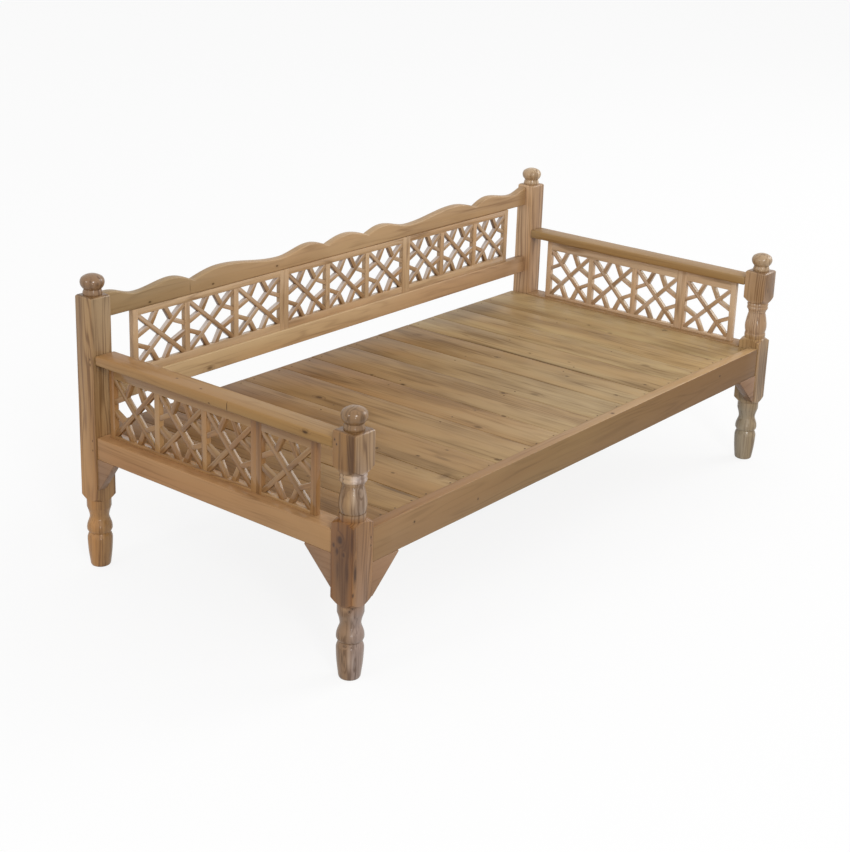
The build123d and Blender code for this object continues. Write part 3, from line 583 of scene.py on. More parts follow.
def wood(name, colour, varnish, gloss=0.20, figure=1.0, cloud=1.0, marks=()):
    """Varnished softwood: broad tones, growth rings about a far-off pith, streaks, marks and painted
    highlights.
    """
    finish = Finish(bpy.data.materials.new(name))
    grain = finish.add("Attribute", {"attribute_name": "grain"}).outputs["Vector"]
    tint = finish.add("Attribute", {"attribute_name": "tint"}).outputs["Vector"]
    hue = finish.noise(grain, (0.9, 7.0, 7.0))
    tone = finish.noise(grain, (3.2, 14.0, 14.0), detail=3.0)
    wander = finish.noise(grain, (1.6, 16.0, 16.0))
    fade = finish.noise(grain, (2.3, 30.0, 30.0))
    streaks = finish.noise(grain, (3.0, 110.0, 110.0), detail=3.0, roughness=0.6)
    fibres = finish.noise(grain, (25.0, 900.0, 900.0))
    eye, halo, painted_highlight = marks_on(finish, marks) if marks else (None, None, None)

    off_pith = finish.distance(finish.stretched(grain, (0.0, 1.0, 1.0)), (0.0, 0.0, 0.0))
    rings = off_pith * RINGS_PER_METRE + wander * RING_WANDER
    if halo:
        rings = rings + halo * RING_SWELL
    line = (rings * math.tau).maths("SINE") * 0.5 + 0.5
    late = line ** 3.0 * fade.between(0.36, 0.64)

    depth = late * LATE_WOOD * figure + (1.0 - tone.between(0.32, 0.68)) * CLOUDS * cloud
    depth = depth + streaks.between(0.50, 0.75) * STREAKS * figure
    if halo:
        depth = depth + halo * HALO
    pale = finish.mix(hue.between(0.38, 0.62), shade(colour, 1.07, -0.03), shade(colour, 1.00, 0.05))
    body = finish.mix(depth.between(0.0, 1.0), pale, shade(colour, 0.50, 0.13))
    if eye:
        body = finish.mix(eye, body, shade(colour, 0.18, 0.28))
    # painted highlights: pale streaks on the turned wood
    if painted_highlight:
        body = finish.mix(painted_highlight, body, shade(colour, 1.7, -0.12))

    relief = fibres * 0.4 + streaks * 0.5 + late * 0.25
    bump = finish.add("Bump", sockets={"Strength": 0.18, "Distance": 0.0006, "Height": relief})
    finish.set_surface(
        {
            "Base Color": finish.stretched(body, tint),
            "Roughness": 0.48 + streaks * 0.10 + late * 0.04,
            "Specular IOR Level": 0.15,
            "Coat Weight": varnish,
            "Coat Roughness": gloss,
            "Normal": bump.outputs[0],
        }
    )
    return finish.owner


def plain(name, colour, roughness):
    """A dull finish with a little mottling."""
    finish = Finish(bpy.data.materials.new(name))
    place = finish.add("TexCoord").outputs["Object"]
    mottle = finish.noise(place, (400.0, 400.0, 400.0))
    finish.set_surface(
        {
            "Base Color": finish.mix(mottle, shade(colour, 0.8), shade(colour, 1.2)),
            "Roughness": roughness + mottle * 0.1,
            "Specular IOR Level": 0.1,
        }
    )
    return finish.owner


def deck_marks():
    """The deck's knots, dark lines and painted shadow as (centre, reach each way, strength)."""
    spots = [(x, y, KNOT_ACROSS * size, KNOT_ALONG * size, depth) for x, y, size, depth in DECK_KNOTS]
    spots += DECK_STAINS_AND_SHADOW
    return [((x, y, DECK_TOP), (wide, long, 1.0), depth) for x, y, wide, long, depth in spots]


def finish_named(name):
    """The material of that name, made the first time it is asked for."""
    made = bpy.data.materials.get(name)
    if made:
        return made
    woods = bpy.context.scene.takht_wood
    coat = woods.varnish
    if name == "deck wood":
        return wood(name, woods.deck, coat, figure=0.85, cloud=2.0, marks=deck_marks())
    if name == "rail wood":
        return wood(name, woods.rail, 2.5 * coat, gloss=0.15, figure=0.8, marks=RAIL_MARKS)
    if name == "post wood":
        return wood(name, woods.post, 6 * coat, gloss=0.18, figure=1.9, cloud=1.6, marks=POST_MARKS)
    if name == "lattice wood":
        return wood(name, woods.lattice, 7 * coat, gloss=0.14, figure=1.2)
    if name == "inner wood":
        return wood(name, woods.rail, 0.0)
    return plain(name, NAIL_IRON, NAIL_ROUGHNESS)


# --- Bench work ---
def start_fresh():
    """Leave nothing selected before a new primitive is added."""
    bpy.ops.object.select_all(action="DESELECT")


def block(name, low, high):
    """A rectangular blank between two corners."""
    low, high = Vector(low), Vector(high)
    start_fresh()
    bpy.ops.mesh.primitive_cube_add(size=1.0, location=(low + high) / 2)
    blank = bpy.context.object
    blank.name = blank.data.name = name
    blank.scale = high - low
    bpy.ops.object.transform_apply(location=True, rotation=True, scale=True)
    return blank


def only(piece):
    """Make one piece the selected and active one."""
    start_fresh()
    piece.select_set(True)
    bpy.context.view_layer.objects.active = piece


@contextmanager
def editing(piece):
    """Edit mode on one piece, for as long as the block lasts."""
    only(piece)
    bpy.ops.object.mode_set(mode="EDIT")
    yield
    bpy.ops.object.mode_set(mode="OBJECT")


def score(piece, axis, places):
    """Cut a ring of edges round a piece at each place along an axis."""
    point, normal = Vector(), Vector()
    normal[axis] = 1.0
    with editing(piece):
        for place in places:
            point[axis] = place
            bpy.ops.mesh.select_all(action="SELECT")
            bpy.ops.mesh.bisect(plane_co=point, plane_no=normal)


def divide(piece, axis, spans):
    """Score a piece evenly along an axis."""
    low = min(vertex.co[axis] for vertex in piece.data.vertices)
    high = max(vertex.co[axis] for vertex in piece.data.vertices)
    score(piece, axis, [low + (high - low) * step / spans for step in range(1, spans)])


def trim(piece, cuts):
    """Saw a piece at each cut, a point and the side that drops."""
    with editing(piece):
        for point, side in cuts:
            bpy.ops.mesh.select_all(action="SELECT")
            bpy.ops.mesh.bisect(plane_co=point, plane_no=side, use_fill=True, clear_outer=True)


def smooth(piece, angle):
    """Shade a piece smooth across all edges that turn by less than an angle in degrees."""
    only(piece)
    bpy.ops.object.shade_smooth_by_angle(angle=math.radians(angle))


def ease_edges(piece, radius, steps=3, corner=30.0):
    """Round the sharp edges of a piece and smooth what is left."""
    only(piece)
    bevel = piece.modifiers.new("eased edges", "BEVEL")
    bevel.width = radius
    bevel.segments = steps
    bevel.limit_method = "ANGLE"
    bevel.angle_limit = math.radians(corner)
    bpy.ops.object.modifier_apply(modifier=bevel.name)
    smooth(piece, 40)


def plane_by_hand(piece, height):
    """Leave the shallow waves of a hand plane on a piece."""
    pattern = bpy.data.textures.get("hand planing")
    if pattern is None:
        pattern = bpy.data.textures.new("hand planing", "CLOUDS")
        pattern.noise_scale = 0.16
    only(piece)
    waves = piece.modifiers.new("planing", "DISPLACE")
    waves.texture = pattern
    waves.texture_coords = "LOCAL"
    waves.direction = "NORMAL"
    waves.strength = height
    waves.mid_level = 0.8
    bpy.ops.object.modifier_apply(modifier=waves.name)


def lay_grain(piece, along, seed, pith=None):
    """Record where each point lay in the tree: along the grain, and off the pith both ways."""
    chance = random.Random(seed)
    points = [vertex.co for vertex in piece.data.vertices]
    low = Vector([min(point[axis] for point in points) for axis in range(3)])
    high = Vector([max(point[axis] for point in points) for axis in range(3)])
    middle, size = (low + high) / 2, high - low
    wide, thin = sorted((axis for axis in range(3) if axis != along), key=lambda axis: -size[axis])
    drift = chance.uniform(0.0, TRUNK_LENGTH)
    aside = chance.uniform(-0.3, 0.3) * size[wide]
    below = pith if pith is not None else chance.uniform(0.03, 0.09)
    grain = piece.data.attributes.new("grain", "FLOAT_VECTOR", "POINT")
    places = []
    for point in points:
        place = point - middle
        places += [place[along] + drift, place[wide] + aside, place[thin] + below]
    grain.data.foreach_set("vector", places)


def blend(stops, place):
    """The colour at a place between stops."""
    place = min(max(place, stops[0][0]), stops[-1][0])
    for (start, first), (end, last) in zip(stops, stops[1:]):
        if place <= end:
            return Vector(first).lerp(Vector(last), (place - start) / (end - start))
    return Vector(stops[0][1])


def layers_for(node, tints):
    """The layers of tint under the first name that a node's starts with."""
    return next((layers for start, layers in tints.items() if node.startswith(start)), ())


def lay_tint(piece, node):
    """Record a piece's tint, its own tone with painted light and shade on it, which may change along it."""
    layers, painted_tops = layers_for(node, TINTS), layers_for(node, TOP_LIGHT_AND_SHADE)
    tone = random.Random(node + "tone").uniform(*PIECE_TONE)
    tints = []
    for vertex in piece.data.vertices:
        tint = Vector((tone, tone, tone))
        across = vertex.normal.x if node.startswith("back") else -vertex.normal.y
        reading = (*vertex.co, *vertex.normal, across * vertex.normal.z)
        # tops that face up take their own painted light and shade
        here = painted_tops if painted_tops and vertex.normal.z > TOP_FACING else layers
        # sticks also take their painted highlight and painted shade
        for axis, stops in (*here, *STICK_LIGHT_AND_SHADE) if node.endswith("_sticks") else here:
            tint *= blend(stops, reading[axis])
        tints.extend(tint)
    piece.data.attributes.new("tint", "FLOAT_VECTOR", "POINT").data.foreach_set("vector", tints)


def settle(piece, node, finish):
    """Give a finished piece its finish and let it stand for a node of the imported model."""
    lay_tint(piece, node)
    piece.data.materials.clear()
    piece.data.materials.append(finish_named(finish))
    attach(piece, "root")
    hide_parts(node)


def join(name, pieces):
    """Gather pieces into one object, each still its own closed shell."""
    start_fresh()
    for piece in pieces:
        piece.select_set(True)
    bpy.context.view_layer.objects.active = pieces[0]
    if len(pieces) > 1:
        bpy.ops.object.join()
    joined = bpy.context.object
    joined.name = joined.data.name = name
    return joined


def copy_of(piece, name, shift):
    """A copy with its own mesh, moved, its place kept in the mesh."""
    twin = piece.copy()
    twin.data = piece.data.copy()
    twin.name = twin.data.name = name
    bpy.context.collection.objects.link(twin)
    twin.data.transform(Matrix.Translation(shift))
    return twin


def lathe_point(radius, height):
    """A point of an outline."""
    return Vector((radius, 0.0, height))


def curve_point(before, here, there, after, share):
    """The point at a share of the way from here to there, on the smooth curve through all four."""
    rise = there - before
    bend = before * 2 - here * 5 + there * 4 - after
    twist = here * 3 - before - there * 3 + after
    return (here * 2 + rise * share + bend * share**2 + twist * share**3) / 2


def smooth_outline(runs, step=0.0035):
    """Points along an outline: each run is rounded through its points, its ends stay sharp."""
    outline, before_run = [], ()
    for run in runs:
        points = [lathe_point(*point) for point in (*before_run, *run)]
        before_run = run[-1:]
        if len(points) == 2:
            outline += points
            continue
        ends = [points[0] * 2 - points[1]] + points + [points[-1] * 2 - points[-2]]
        for before, here, there, after in zip(ends, ends[1:], ends[2:], ends[3:]):
            count = max(2, round((there - here).length / step))
            outline += [curve_point(before, here, there, after, part / count) for part in range(count + 1)]
    apart = [there for here, there in zip(outline, outline[1:]) if (there - here).length > 1e-5]
    return [outline[0]] + apart


def turn(name, outline):
    """Turn an outline that starts and ends on the axis, as on a lathe."""
    start_fresh()
    bpy.ops.mesh.primitive_plane_add(size=0.01, location=(0.0, 0.0, 0.0))
    turned = bpy.context.object
    turned.name = turned.data.name = name
    with editing(turned):
        bpy.ops.mesh.merge(type="CENTER")
        bpy.ops.transform.translate(value=outline[0])
        for here, there in zip(outline, outline[1:]):
            bpy.ops.mesh.extrude_region_move(TRANSFORM_OT_translate={"value": there - here})
        bpy.ops.mesh.select_all(action="SELECT")
        bpy.ops.mesh.spin(steps=LATHE_STEPS, angle=math.tau, center=(0.0, 0.0, 0.0), axis=(0.0, 0.0, 1.0))
        bpy.ops.mesh.select_all(action="SELECT")
        bpy.ops.mesh.remove_doubles(threshold=1e-5)
        bpy.ops.mesh.normals_make_consistent(inside=False)
    return turned


# --- Posts and finials ---
def post_outline(width, top, baluster):
    """Outline of everything the lathe leaves on a post, wide open at the square blocks."""
    open_radius = width * LATHE_SWING
    outline = smooth_outline(FOOT)
    outline[0:1] = [lathe_point(0.0, -LATHE_CLEARANCE), lathe_point(outline[1].x, -LATHE_CLEARANCE)]
    sleeve = outline[-1]
    outline.append(lathe_point(open_radius, sleeve.z + open_radius - sleeve.x))
    if baluster:
        turned = smooth_outline(BALUSTER)
        corner = width / math.sqrt(2)
        block_top = turned[0].z - BLOCK_SHOULDER
        slope = (turned[0].z - block_top) / (corner - turned[0].x)
        outline.append(lathe_point(open_radius, turned[0].z - (open_radius - turned[0].x) * slope))
        outline += turned
        cup = turned[-1]
        outline.append(lathe_point(open_radius, cup.z + open_radius - cup.x))
    above = top + LATHE_CLEARANCE
    return outline + [lathe_point(open_radius, above), lathe_point(0.0, above)]


def post(name, width, top, baluster):
    """A square post about the Z axis with a turned foot, and a baluster between its blocks."""
    half = width / 2
    blank = block(name, (-half, -half, 0.0), (half, half, top - POST_CHAMFER))
    with editing(blank):
        bpy.ops.mesh.select_all(action="DESELECT")
    for face in blank.data.polygons:
        face.select = face.normal.z > 0.9
    narrower = (width - 2 * POST_CHAMFER) / width
    with editing(blank):
        bpy.ops.mesh.extrude_region_move(TRANSFORM_OT_translate={"value": (0.0, 0.0, POST_CHAMFER)})
        bpy.ops.transform.resize(value=(narrower, narrower, 1.0))
    ease_edges(blank, SAWN_EDGE, steps=2)
    lathe = turn(name + "_lathe", post_outline(width, top, baluster))
    only(blank)
    cut = blank.modifiers.new("lathe cut", "BOOLEAN")
    cut.operation = "INTERSECT"
    cut.solver = "EXACT"
    cut.object = lathe
    bpy.ops.object.modifier_apply(modifier=cut.name)
    bpy.data.objects.remove(lathe)
    smooth(blank, 32)
    return blank


class TAKHT_OT_posts(bpy.types.Operator):
    """Turn the four corner posts"""

    bl_idname = "takht.posts"
    bl_label = "Posts"

    def execute(self, context):
        for end in ("front", "rear"):
            low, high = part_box(f"post_{end}_left")
            pattern = post(f"post_{end}", high.x - low.x, high.z, baluster=end == "front")
            for number, side in enumerate(("left", "right")):
                node = f"post_{end}_{side}"
                low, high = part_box(node)
                middle = (low + high) / 2
                standing = copy_of(pattern, f"turned_{node}", (middle.x, middle.y, 0.0))
                lay_grain(standing, Z, node, pith=0.03 + 0.02 * number)
                settle(standing, node, "post wood")
            bpy.data.objects.remove(pattern)
        return {"FINISHED"}


class TAKHT_OT_finials(bpy.types.Operator):
    """Turn the four ball finials"""

    bl_idname = "takht.finials"
    bl_label = "Finials"

    def execute(self, context):
        pattern = turn("finial", smooth_outline(FINIAL, step=0.0025))
        smooth(pattern, 45)
        for end in ("front", "rear"):
            for side in ("left", "right"):
                node = f"finial_{end}_{side}"
                low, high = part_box(node)
                middle = (low + high) / 2
                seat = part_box(f"post_{end}_{side}")[1].z
                ball = copy_of(pattern, f"turned_{node}", (middle.x, middle.y, seat))
                lay_grain(ball, Z, node, pith=0.02)
                settle(ball, node, "post wood")
        bpy.data.objects.remove(pattern)
        return {"FINISHED"}


# --- Boards ---
def rail(node, along, tenon, edge, spans, planing=0.0, finish="rail wood", slot="rail_wood"):
    """A rail from shoulder to shoulder of its node; planing is the height of its hand-planed waves."""
    low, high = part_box(node)
    low[along] += tenon + SHOULDER_GAP if tenon else 0.0
    high[along] -= tenon + SHOULDER_GAP if tenon else 0.0
    board = block("planed_" + node, low, high)
    divide(board, along, spans)
    ease_edges(board, edge)
    if planing:
        plane_by_hand(board, planing)
    lay_grain(board, along, node)
    settle(board, node, finish)


class TAKHT_OT_rails(bpy.types.Operator):
    """Plane the rails, the arms and the hidden bearers"""

    bl_idname = "takht.rails"
    bl_label = "Rails and arms"

    def execute(self, context):
        sizes = context.scene.takht_sizes
        for node in ("front_rail", "rear_rail", "back_rail"):
            rail(node, X, TENON, sizes.rail_edge, spans=24, planing=sizes.planing)
        for side in ("left", "right"):
            rail(f"side_rail_{side}", Y, TENON, sizes.rail_edge, spans=12, planing=sizes.planing)
            rail(f"arm_{side}", Y, TENON, sizes.arm_edge, spans=12, planing=sizes.planing)
        inner = {"front_bearer": BEARER_TENON, "rear_bearer": BEARER_TENON, "front_ledger": 0.0}
        for node, tenon in inner.items():
            rail(node, X, tenon, INNER_EDGE, spans=8, finish="inner wood", slot="inner_wood")
        return {"FINISHED"}


def wave_height(place):
    """Height of the crest's top edge at a place along it."""
    place = min(abs(place - CREST_MIDDLE), CREST_WAVE[-1][0])
    for (start, low), (end, high) in zip(CREST_WAVE, CREST_WAVE[1:]):
        if place <= end:
            part = (place - start) / (end - start)
            if end in CREST_NOTCHES:  # falls faster and faster into the notch
                return low + (high - low) * (1 - math.cos(part * math.pi / 2))
            if start in CREST_NOTCHES:
                return low + (high - low) * math.sin(part * math.pi / 2)
            return low + (high - low) * (1 - math.cos(part * math.pi)) / 2
    return CREST_WAVE[-1][1]


class TAKHT_OT_crest(bpy.types.Operator):
    """Saw the wavy crest rail"""

    bl_idname = "takht.crest"
    bl_label = "Crest rail"

    def execute(self, context):
        sizes = context.scene.takht_sizes
        low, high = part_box("crest_rail")
        low.x += TENON + SHOULDER_GAP
        high.x -= TENON + SHOULDER_GAP
        crest = block("sawn_crest_rail", low, (high.x, high.y, CREST_BLANK))
        notches = [CREST_MIDDLE + sign * place for place in CREST_NOTCHES for sign in (-1, 1)]
        places = [low.x + (high.x - low.x) * step / CREST_SPANS for step in range(1, CREST_SPANS)]
        apart = [place for place in places if min(abs(place - notch) for notch in notches) > 0.005]
        score(crest, X, apart + notches)
        for vertex in crest.data.vertices:
            if vertex.co.z > CREST_BLANK - 0.01:
                vertex.co.z = wave_height(vertex.co.x)
        ease_edges(crest, sizes.crest_edge, steps=4, corner=40.0)
        lay_grain(crest, X, "crest_rail")
        settle(crest, "crest_rail", "rail wood")
        return {"FINISHED"}


# --- Deck ---
class TAKHT_OT_deck(bpy.types.Operator):
    """Lay the deck planks"""

    bl_idname = "takht.deck"
    bl_label = "Deck planks"

    def execute(self, context):
        sizes = context.scene.takht_sizes
        chance = random.Random(7)
        for number in range(1, PLANKS + 1):
            node = f"plank_{number:02d}"
            low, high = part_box(node)
            high.z -= chance.uniform(0.0, PLANK_WEAR)
            board = block("laid_" + node, low, high)
            divide(board, Y, 12)
            ease_edges(board, sizes.plank_edge, steps=2)
            plane_by_hand(board, sizes.planing)
            lay_grain(board, Y, node)
            settle(board, node, "deck wood")
        return {"FINISHED"}


class TAKHT_OT_nails(bpy.types.Operator):
    """Drive the cut nails of the deck"""

    bl_idname = "takht.nails"
    bl_label = "Deck nails"

    def execute(self, context):
        half = context.scene.takht_sizes.nail_head / 2
        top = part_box("deck_nails")[1].z
        head = block("nail", (-half, -half, top - NAIL_HEAD_DEPTH), (half, half, top))
        ease_edges(head, NAIL_HEAD_DEPTH / 2, steps=1)
        ledger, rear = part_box("front_ledger"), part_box("rear_rail")
        front_bearer, rear_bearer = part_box("front_bearer"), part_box("rear_bearer")
        rows = [(low.y + high.y) / 2 for low, high in (ledger, front_bearer, rear_bearer, rear)]
        heads = []
        for number in range(1, PLANKS + 1):
            low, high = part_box(f"plank_{number:02d}")
            near, far = low.x + NAIL_INSET, high.x - NAIL_INSET
            first, second = (far, near) if number % 2 else (near, far)
            places = (near, far, first, second, near, far)
            lines = (rows[0], rows[0], rows[1], rows[2], rows[3], rows[3])
            heads += [copy_of(head, "nail", (x, y, 0.0)) for x, y in zip(places, lines)]
        bpy.data.objects.remove(head)
        settle(join("driven_deck_nails", heads), "deck_nails", "nail iron")
        return {"FINISHED"}


# --- Brackets ---
def bracket(node, along):
    """A triangular bracket in the corner between a post and a rail that runs along an axis."""
    low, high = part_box(node)
    middle = (low + high) / 2
    at_post = (low, high)[middle[along] > 0][along]
    at_tip = (high, low)[middle[along] > 0][along]
    inward = math.copysign(1.0, at_tip - at_post)
    corner, foot, side = Vector(), Vector(), Vector()
    corner[along], corner.z = at_tip, high.z - BRACKET_TIP
    foot[along], foot.z = at_post + inward * BRACKET_TIP, low.z
    slope = corner - foot
    side[along], side.z = slope.z * inward, -abs(slope[along])
    piece = block("sawn_" + node, low, high)
    trim(piece, [(corner, side.normalized())])
    ease_edges(piece, SAWN_EDGE)
    lay_grain(piece, along, node)
    settle(piece, node, "rail wood")


class TAKHT_OT_brackets(bpy.types.Operator):
    """Saw the corner brackets under the rails"""

    bl_idname = "takht.brackets"
    bl_label = "Corner brackets"

    def execute(self, context):
        for end in ("front", "rear", "side_front", "side_rear"):
            for side in ("left", "right"):
                bracket(f"bracket_{end}_{side}", Y if end.startswith("side") else X)
        return {"FINISHED"}


# --- Lattice ---
def stick(name, through, towards, cuts, edge, seed):
    """One stick of a cell, its line through two points of the cell's plane, sawn at each cut.

    The cell lies in the XZ plane about the origin.
    """
    line = (towards - through).normalized()
    lean = math.atan2(line.y, line.x)
    piece = block(name, (-STICK_REACH, -STICK / 2, -STICK / 2), (STICK_REACH, STICK / 2, STICK / 2))
    piece.data.transform(Matrix.Translation((through.x, 0.0, through.y)) @ Matrix.Rotation(-lean, 4, "Y"))
    trim(piece, [((point.x, 0.0, point.y), (side.x, 0.0, side.y)) for point, side in cuts])
    ease_edges(piece, edge, steps=2)
    # the grain follows the stick, so it is laid with the stick level
    level = Matrix.Rotation(lean, 4, "Y")
    piece.data.transform(level)
    lay_grain(piece, X, seed, pith=0.04)
    piece.data.transform(level.inverted())
    return piece


def cell(name, width, height, edge):
    """The sticks of one cell: an unbroken diagonal, two halves that meet it and eight short ones."""
    half_w, half_h = width / 2, height / 2
    middle = Vector((0.0, 0.0))
    walls = [
        (Vector((half_w, 0.0)), Vector((1.0, 0.0))),
        (Vector((-half_w, 0.0)), Vector((-1.0, 0.0))),
        (Vector((0.0, half_h)), Vector((0.0, 1.0))),
        (Vector((0.0, -half_h)), Vector((0.0, -1.0))),
    ]
    sticks = [stick(name, middle, Vector((half_w, -half_h)), walls, edge, name + "long")]
    across = Vector((half_h, half_w)).normalized()
    for sign in (-1, 1):
        cuts = walls + [(across * sign * STICK / 2, across * -sign)]
        sticks.append(stick(name, middle, Vector((half_w, half_h)), cuts, edge, f"{name}half{sign}"))
    for sx in (-1, 1):
        for sy in (-1, 1):
            junction = Vector((sx * half_w, sy * half_h)) * JUNCTION_SHARE
            side = Vector((-sx * half_h, sy * half_w)).normalized()
            to_bar = Vector((sx * half_w * LANDING_SHARE, sy * half_h))
            cuts = walls + [(middle, Vector((-sx, 0.0))), (side * STICK / 2, -side)]
            sticks.append(stick(name, junction, to_bar, cuts, edge, f"{name}bar{sx}{sy}"))
            to_stile = Vector((sx * half_w, sy * half_h * LANDING_SHARE))
            cuts = walls + [(middle, Vector((0.0, -sy))), (side * -STICK / 2, side)]
            sticks.append(stick(name, junction, to_stile, cuts, edge, f"{name}stile{sx}{sy}"))
    return join(name, sticks)


def panel_frame(name, members, depth, edge):
    """The joined bars and stiles of a panel; a member is its grain's axis and two corners in XZ."""
    bars = []
    for number, (along, first, last) in enumerate(members):
        bar = block(name, (first[0], -depth, first[1]), (last[0], depth, last[1]))
        ease_edges(bar, edge, steps=2)
        lay_grain(bar, along, f"{name}{number}", pith=0.05)
        bars.append(bar)
    return join("joined_" + name + "_frame", bars)


def panel_sticks(name, pattern, middles):
    """The joined sticks of a panel: its cell's pattern about each middle, with a grain of its own."""
    filled = []
    for number, middle in enumerate(middles):
        filled.append(copy_of(pattern, name, middle))
        grain = filled[-1].data.attributes["grain"].data
        places = [0.0] * (3 * len(grain))
        grain.foreach_get("vector", places)
        shift = random.Random(f"{name}{number}").uniform(0.0, TRUNK_LENGTH)
        grain.foreach_set("vector", [v + shift if i % 3 == 0 else v for i, v in enumerate(places)])
    return join("fitted_" + name + "_sticks", filled)


class TAKHT_OT_lattice(bpy.types.Operator):
    """Build the lattice panels"""

    bl_idname = "takht.lattice"
    bl_label = "Lattice panels"

    def execute(self, context):
        edge = context.scene.takht_sizes.stick_edge
        patterns = {}
        for name, (cells, top_bar, bottom_bar, turned) in PANELS.items():
            low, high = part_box(name + "_frame")
            length = high.y - low.y if turned else high.x - low.x
            height, thick = high.z - low.z, (high.x - low.x if turned else high.y - low.y)
            middle = (low + high) / 2
            place = Matrix.Translation((middle.x, middle.y, low.z)) @ Matrix.Rotation(turned, 4, "Z")
            half, depth = length / 2, thick / 2
            width = (length - STILE * (cells + 1)) / cells
            opening = height - top_bar - bottom_bar
            starts = [-half + number * (width + STILE) for number in range(cells)]

            members = [
                (X, (-half + STILE, 0.0), (half - STILE, bottom_bar)),
                (X, (-half + STILE, height - top_bar), (half - STILE, height)),
                (Z, (-half, 0.0), (-half + STILE, height)),
                (Z, (half - STILE, 0.0), (half, height)),
            ]
            members += [(Z, (start, bottom_bar), (start + STILE, height - top_bar)) for start in starts[1:]]
            framed = panel_frame(name, members, depth, edge)
            framed.data.transform(place)
            settle(framed, name + "_frame", "lattice wood")

            fit = (round(width, 4), round(opening, 4))
            if fit not in patterns:
                patterns[fit] = cell(f"cell{len(patterns)}", width, opening, edge)
            middles = [(start + STILE + width / 2, 0.0, bottom_bar + opening / 2) for start in starts]
            sticks = panel_sticks(name, patterns[fit], middles)
            sticks.data.transform(place)
            settle(sticks, name + "_sticks", "lattice wood")
        for pattern in patterns.values():
            bpy.data.objects.remove(pattern)
        return {"FINISHED"}


# --- Stage ---
def seen_white(finish, shader, lit):
    """White where the camera or a reflection sees it, and the given shader as a light."""
    rays = finish.add("LightPath")
    sight = Level(finish, rays.outputs["Is Camera Ray"])
    for name in ("Is Glossy Ray", "Is Transmission Ray"):
        sight = sight.maths("MAXIMUM", rays.outputs[name])
    white = finish.add("Emission", sockets={"Color": WHITE, "Strength": 1.0})
    return finish.add("MixShader", sockets={0: sight * lit, 1: shader, 2: white.outputs[0]})


def lay_floor():
    """A wide pale floor, almost white to the camera."""
    start_fresh()
    bpy.ops.mesh.primitive_plane_add(size=FLOOR_WIDTH, location=(0.0, 0.0, 0.0))
    floor = bpy.context.object
    floor.name = "floor"
    pale = Finish(bpy.data.materials.new("pale floor"))
    seen = pale.add("LightPath").outputs["Is Camera Ray"]
    pale.set_surface({"Base Color": pale.mix(seen, FLOOR_UNSEEN, FLOOR_SEEN), "Roughness": 0.9})
    mixed = seen_white(pale, pale.first("BSDF_PRINCIPLED").outputs[0], FLOOR_GLOW)
    pale.join(mixed.outputs[0], pale.first("OUTPUT_MATERIAL").inputs["Surface"])
    floor.data.materials.append(pale.owner)


def light_room(scene, strength):
    """Even light from all round, white to the camera."""
    scene.world = bpy.data.worlds.new("soft room")
    room = Finish(scene.world)
    sky = room.first("BACKGROUND")
    room.join(WHITE, sky.inputs["Color"])
    room.join(strength, sky.inputs["Strength"])
    mixed = seen_white(room, sky.outputs[0], 1.0)
    room.join(mixed.outputs[0], room.first("OUTPUT_WORLD").inputs["Surface"])


def hang_softbox(name, place, size, power):
    """A round light turned to the middle of the takht."""
    lamp = bpy.data.lights.new(name, "AREA")
    lamp.shape = "DISK"
    lamp.size = size
    lamp.energy = power
    light = bpy.data.objects.new(name, lamp)
    light.location = place
    light.rotation_euler = (LIT_POINT - Vector(place)).to_track_quat("-Z", "Y").to_euler()
    bpy.context.collection.objects.link(light)


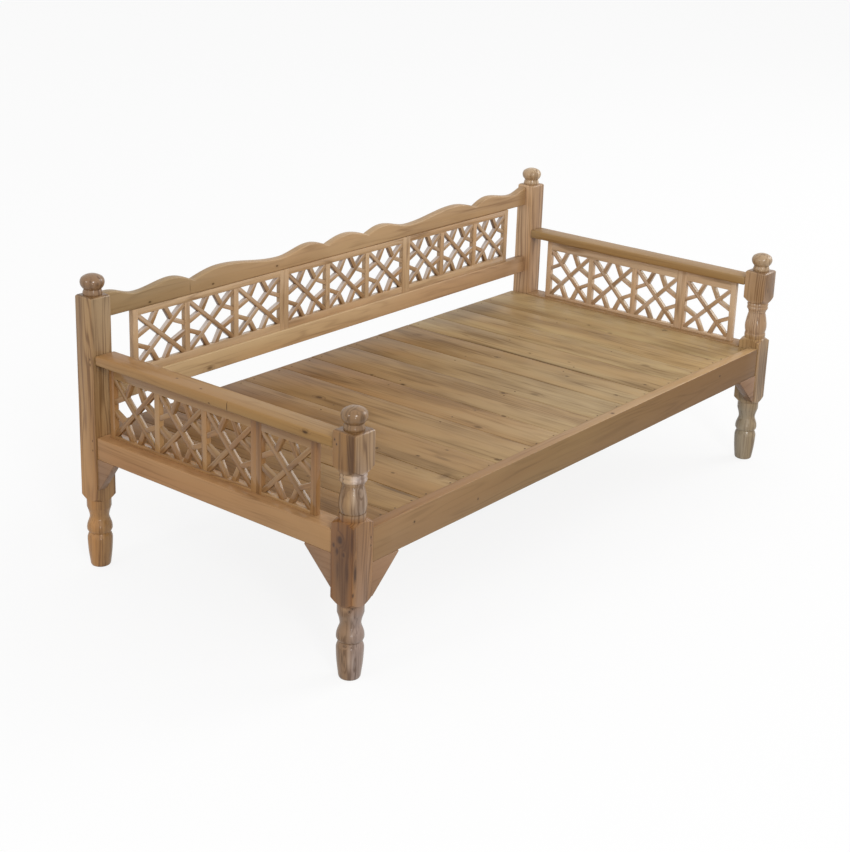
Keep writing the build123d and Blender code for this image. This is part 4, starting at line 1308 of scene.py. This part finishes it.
def place_camera(stage):
    """The camera, turned to its heading, dipped and then rolled."""
    sight = bpy.data.cameras.new("camera")
    sight.lens = stage.lens
    sight.sensor_width = SENSOR_WIDTH
    sight.shift_y = LENS_SHIFT
    camera = bpy.data.objects.new("camera", sight)
    heading, level = stage.azimuth, math.cos(stage.dip)
    ahead = Vector((math.sin(heading) * level, math.cos(heading) * level, -math.sin(stage.dip)))
    right = Vector((math.cos(heading), -math.sin(heading), 0.0))
    upward = right.cross(ahead)
    lean, rise = math.cos(stage.roll), math.sin(stage.roll)
    axes = Matrix((right * lean + upward * rise, upward * lean - right * rise, -ahead)).transposed()
    camera.matrix_world = Matrix.Translation(stage.camera) @ axes.to_4x4()
    bpy.context.collection.objects.link(camera)
    return camera


class TAKHT_OT_stage(bpy.types.Operator):
    """Set the pale floor, the soft lights and the camera"""

    bl_idname = "takht.stage"
    bl_label = "Stage"

    def execute(self, context):
        stage = context.scene.takht_stage
        lay_floor()
        light_room(context.scene, stage.sky)
        for name, place, size, share in SOFTBOXES:
            hang_softbox(name, place, size, stage.key * share)
        context.scene.camera = place_camera(stage)
        context.scene.view_settings.view_transform = "Standard"
        return {"FINISHED"}


class TAKHT_PT_panel(bpy.types.Panel):
    """Lists the takht's sizes, finishes and building steps"""

    bl_idname = "TAKHT_PT_panel"
    bl_label = "Takht daybed"
    bl_space_type = "VIEW_3D"
    bl_region_type = "UI"
    bl_category = "Takht"

    def draw(self, context):
        for pointer, group in GROUPS.items():
            box = self.layout.box()
            for name in group.__annotations__:
                box.prop(getattr(context.scene, pointer), name)
        for step in STEPS:
            self.layout.operator(step.bl_idname)


STEPS = (
    TAKHT_OT_stage,
    TAKHT_OT_posts,
    TAKHT_OT_finials,
    TAKHT_OT_rails,
    TAKHT_OT_crest,
    TAKHT_OT_deck,
    TAKHT_OT_nails,
    TAKHT_OT_brackets,
    TAKHT_OT_lattice,
)
GROUPS = {"takht_wood": TakhtWood, "takht_sizes": TakhtSizes, "takht_stage": TakhtStage}
CLASSES = (*GROUPS.values(), *STEPS, TAKHT_PT_panel)


def register():
    for one in CLASSES:
        bpy.utils.register_class(one)
    for pointer, group in GROUPS.items():
        setattr(bpy.types.Scene, pointer, PointerProperty(type=group))


def unregister():
    for pointer in GROUPS:
        delattr(bpy.types.Scene, pointer)
    for one in reversed(CLASSES):
        bpy.utils.unregister_class(one)


def main():
    """Register the add-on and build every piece."""
    register()
    bpy.ops.takht.stage()
    bpy.ops.takht.posts()
    bpy.ops.takht.finials()
    bpy.ops.takht.rails()
    bpy.ops.takht.crest()
    bpy.ops.takht.deck()
    bpy.ops.takht.nails()
    bpy.ops.takht.brackets()
    bpy.ops.takht.lattice()


if __name__ == "__main__":
    main()
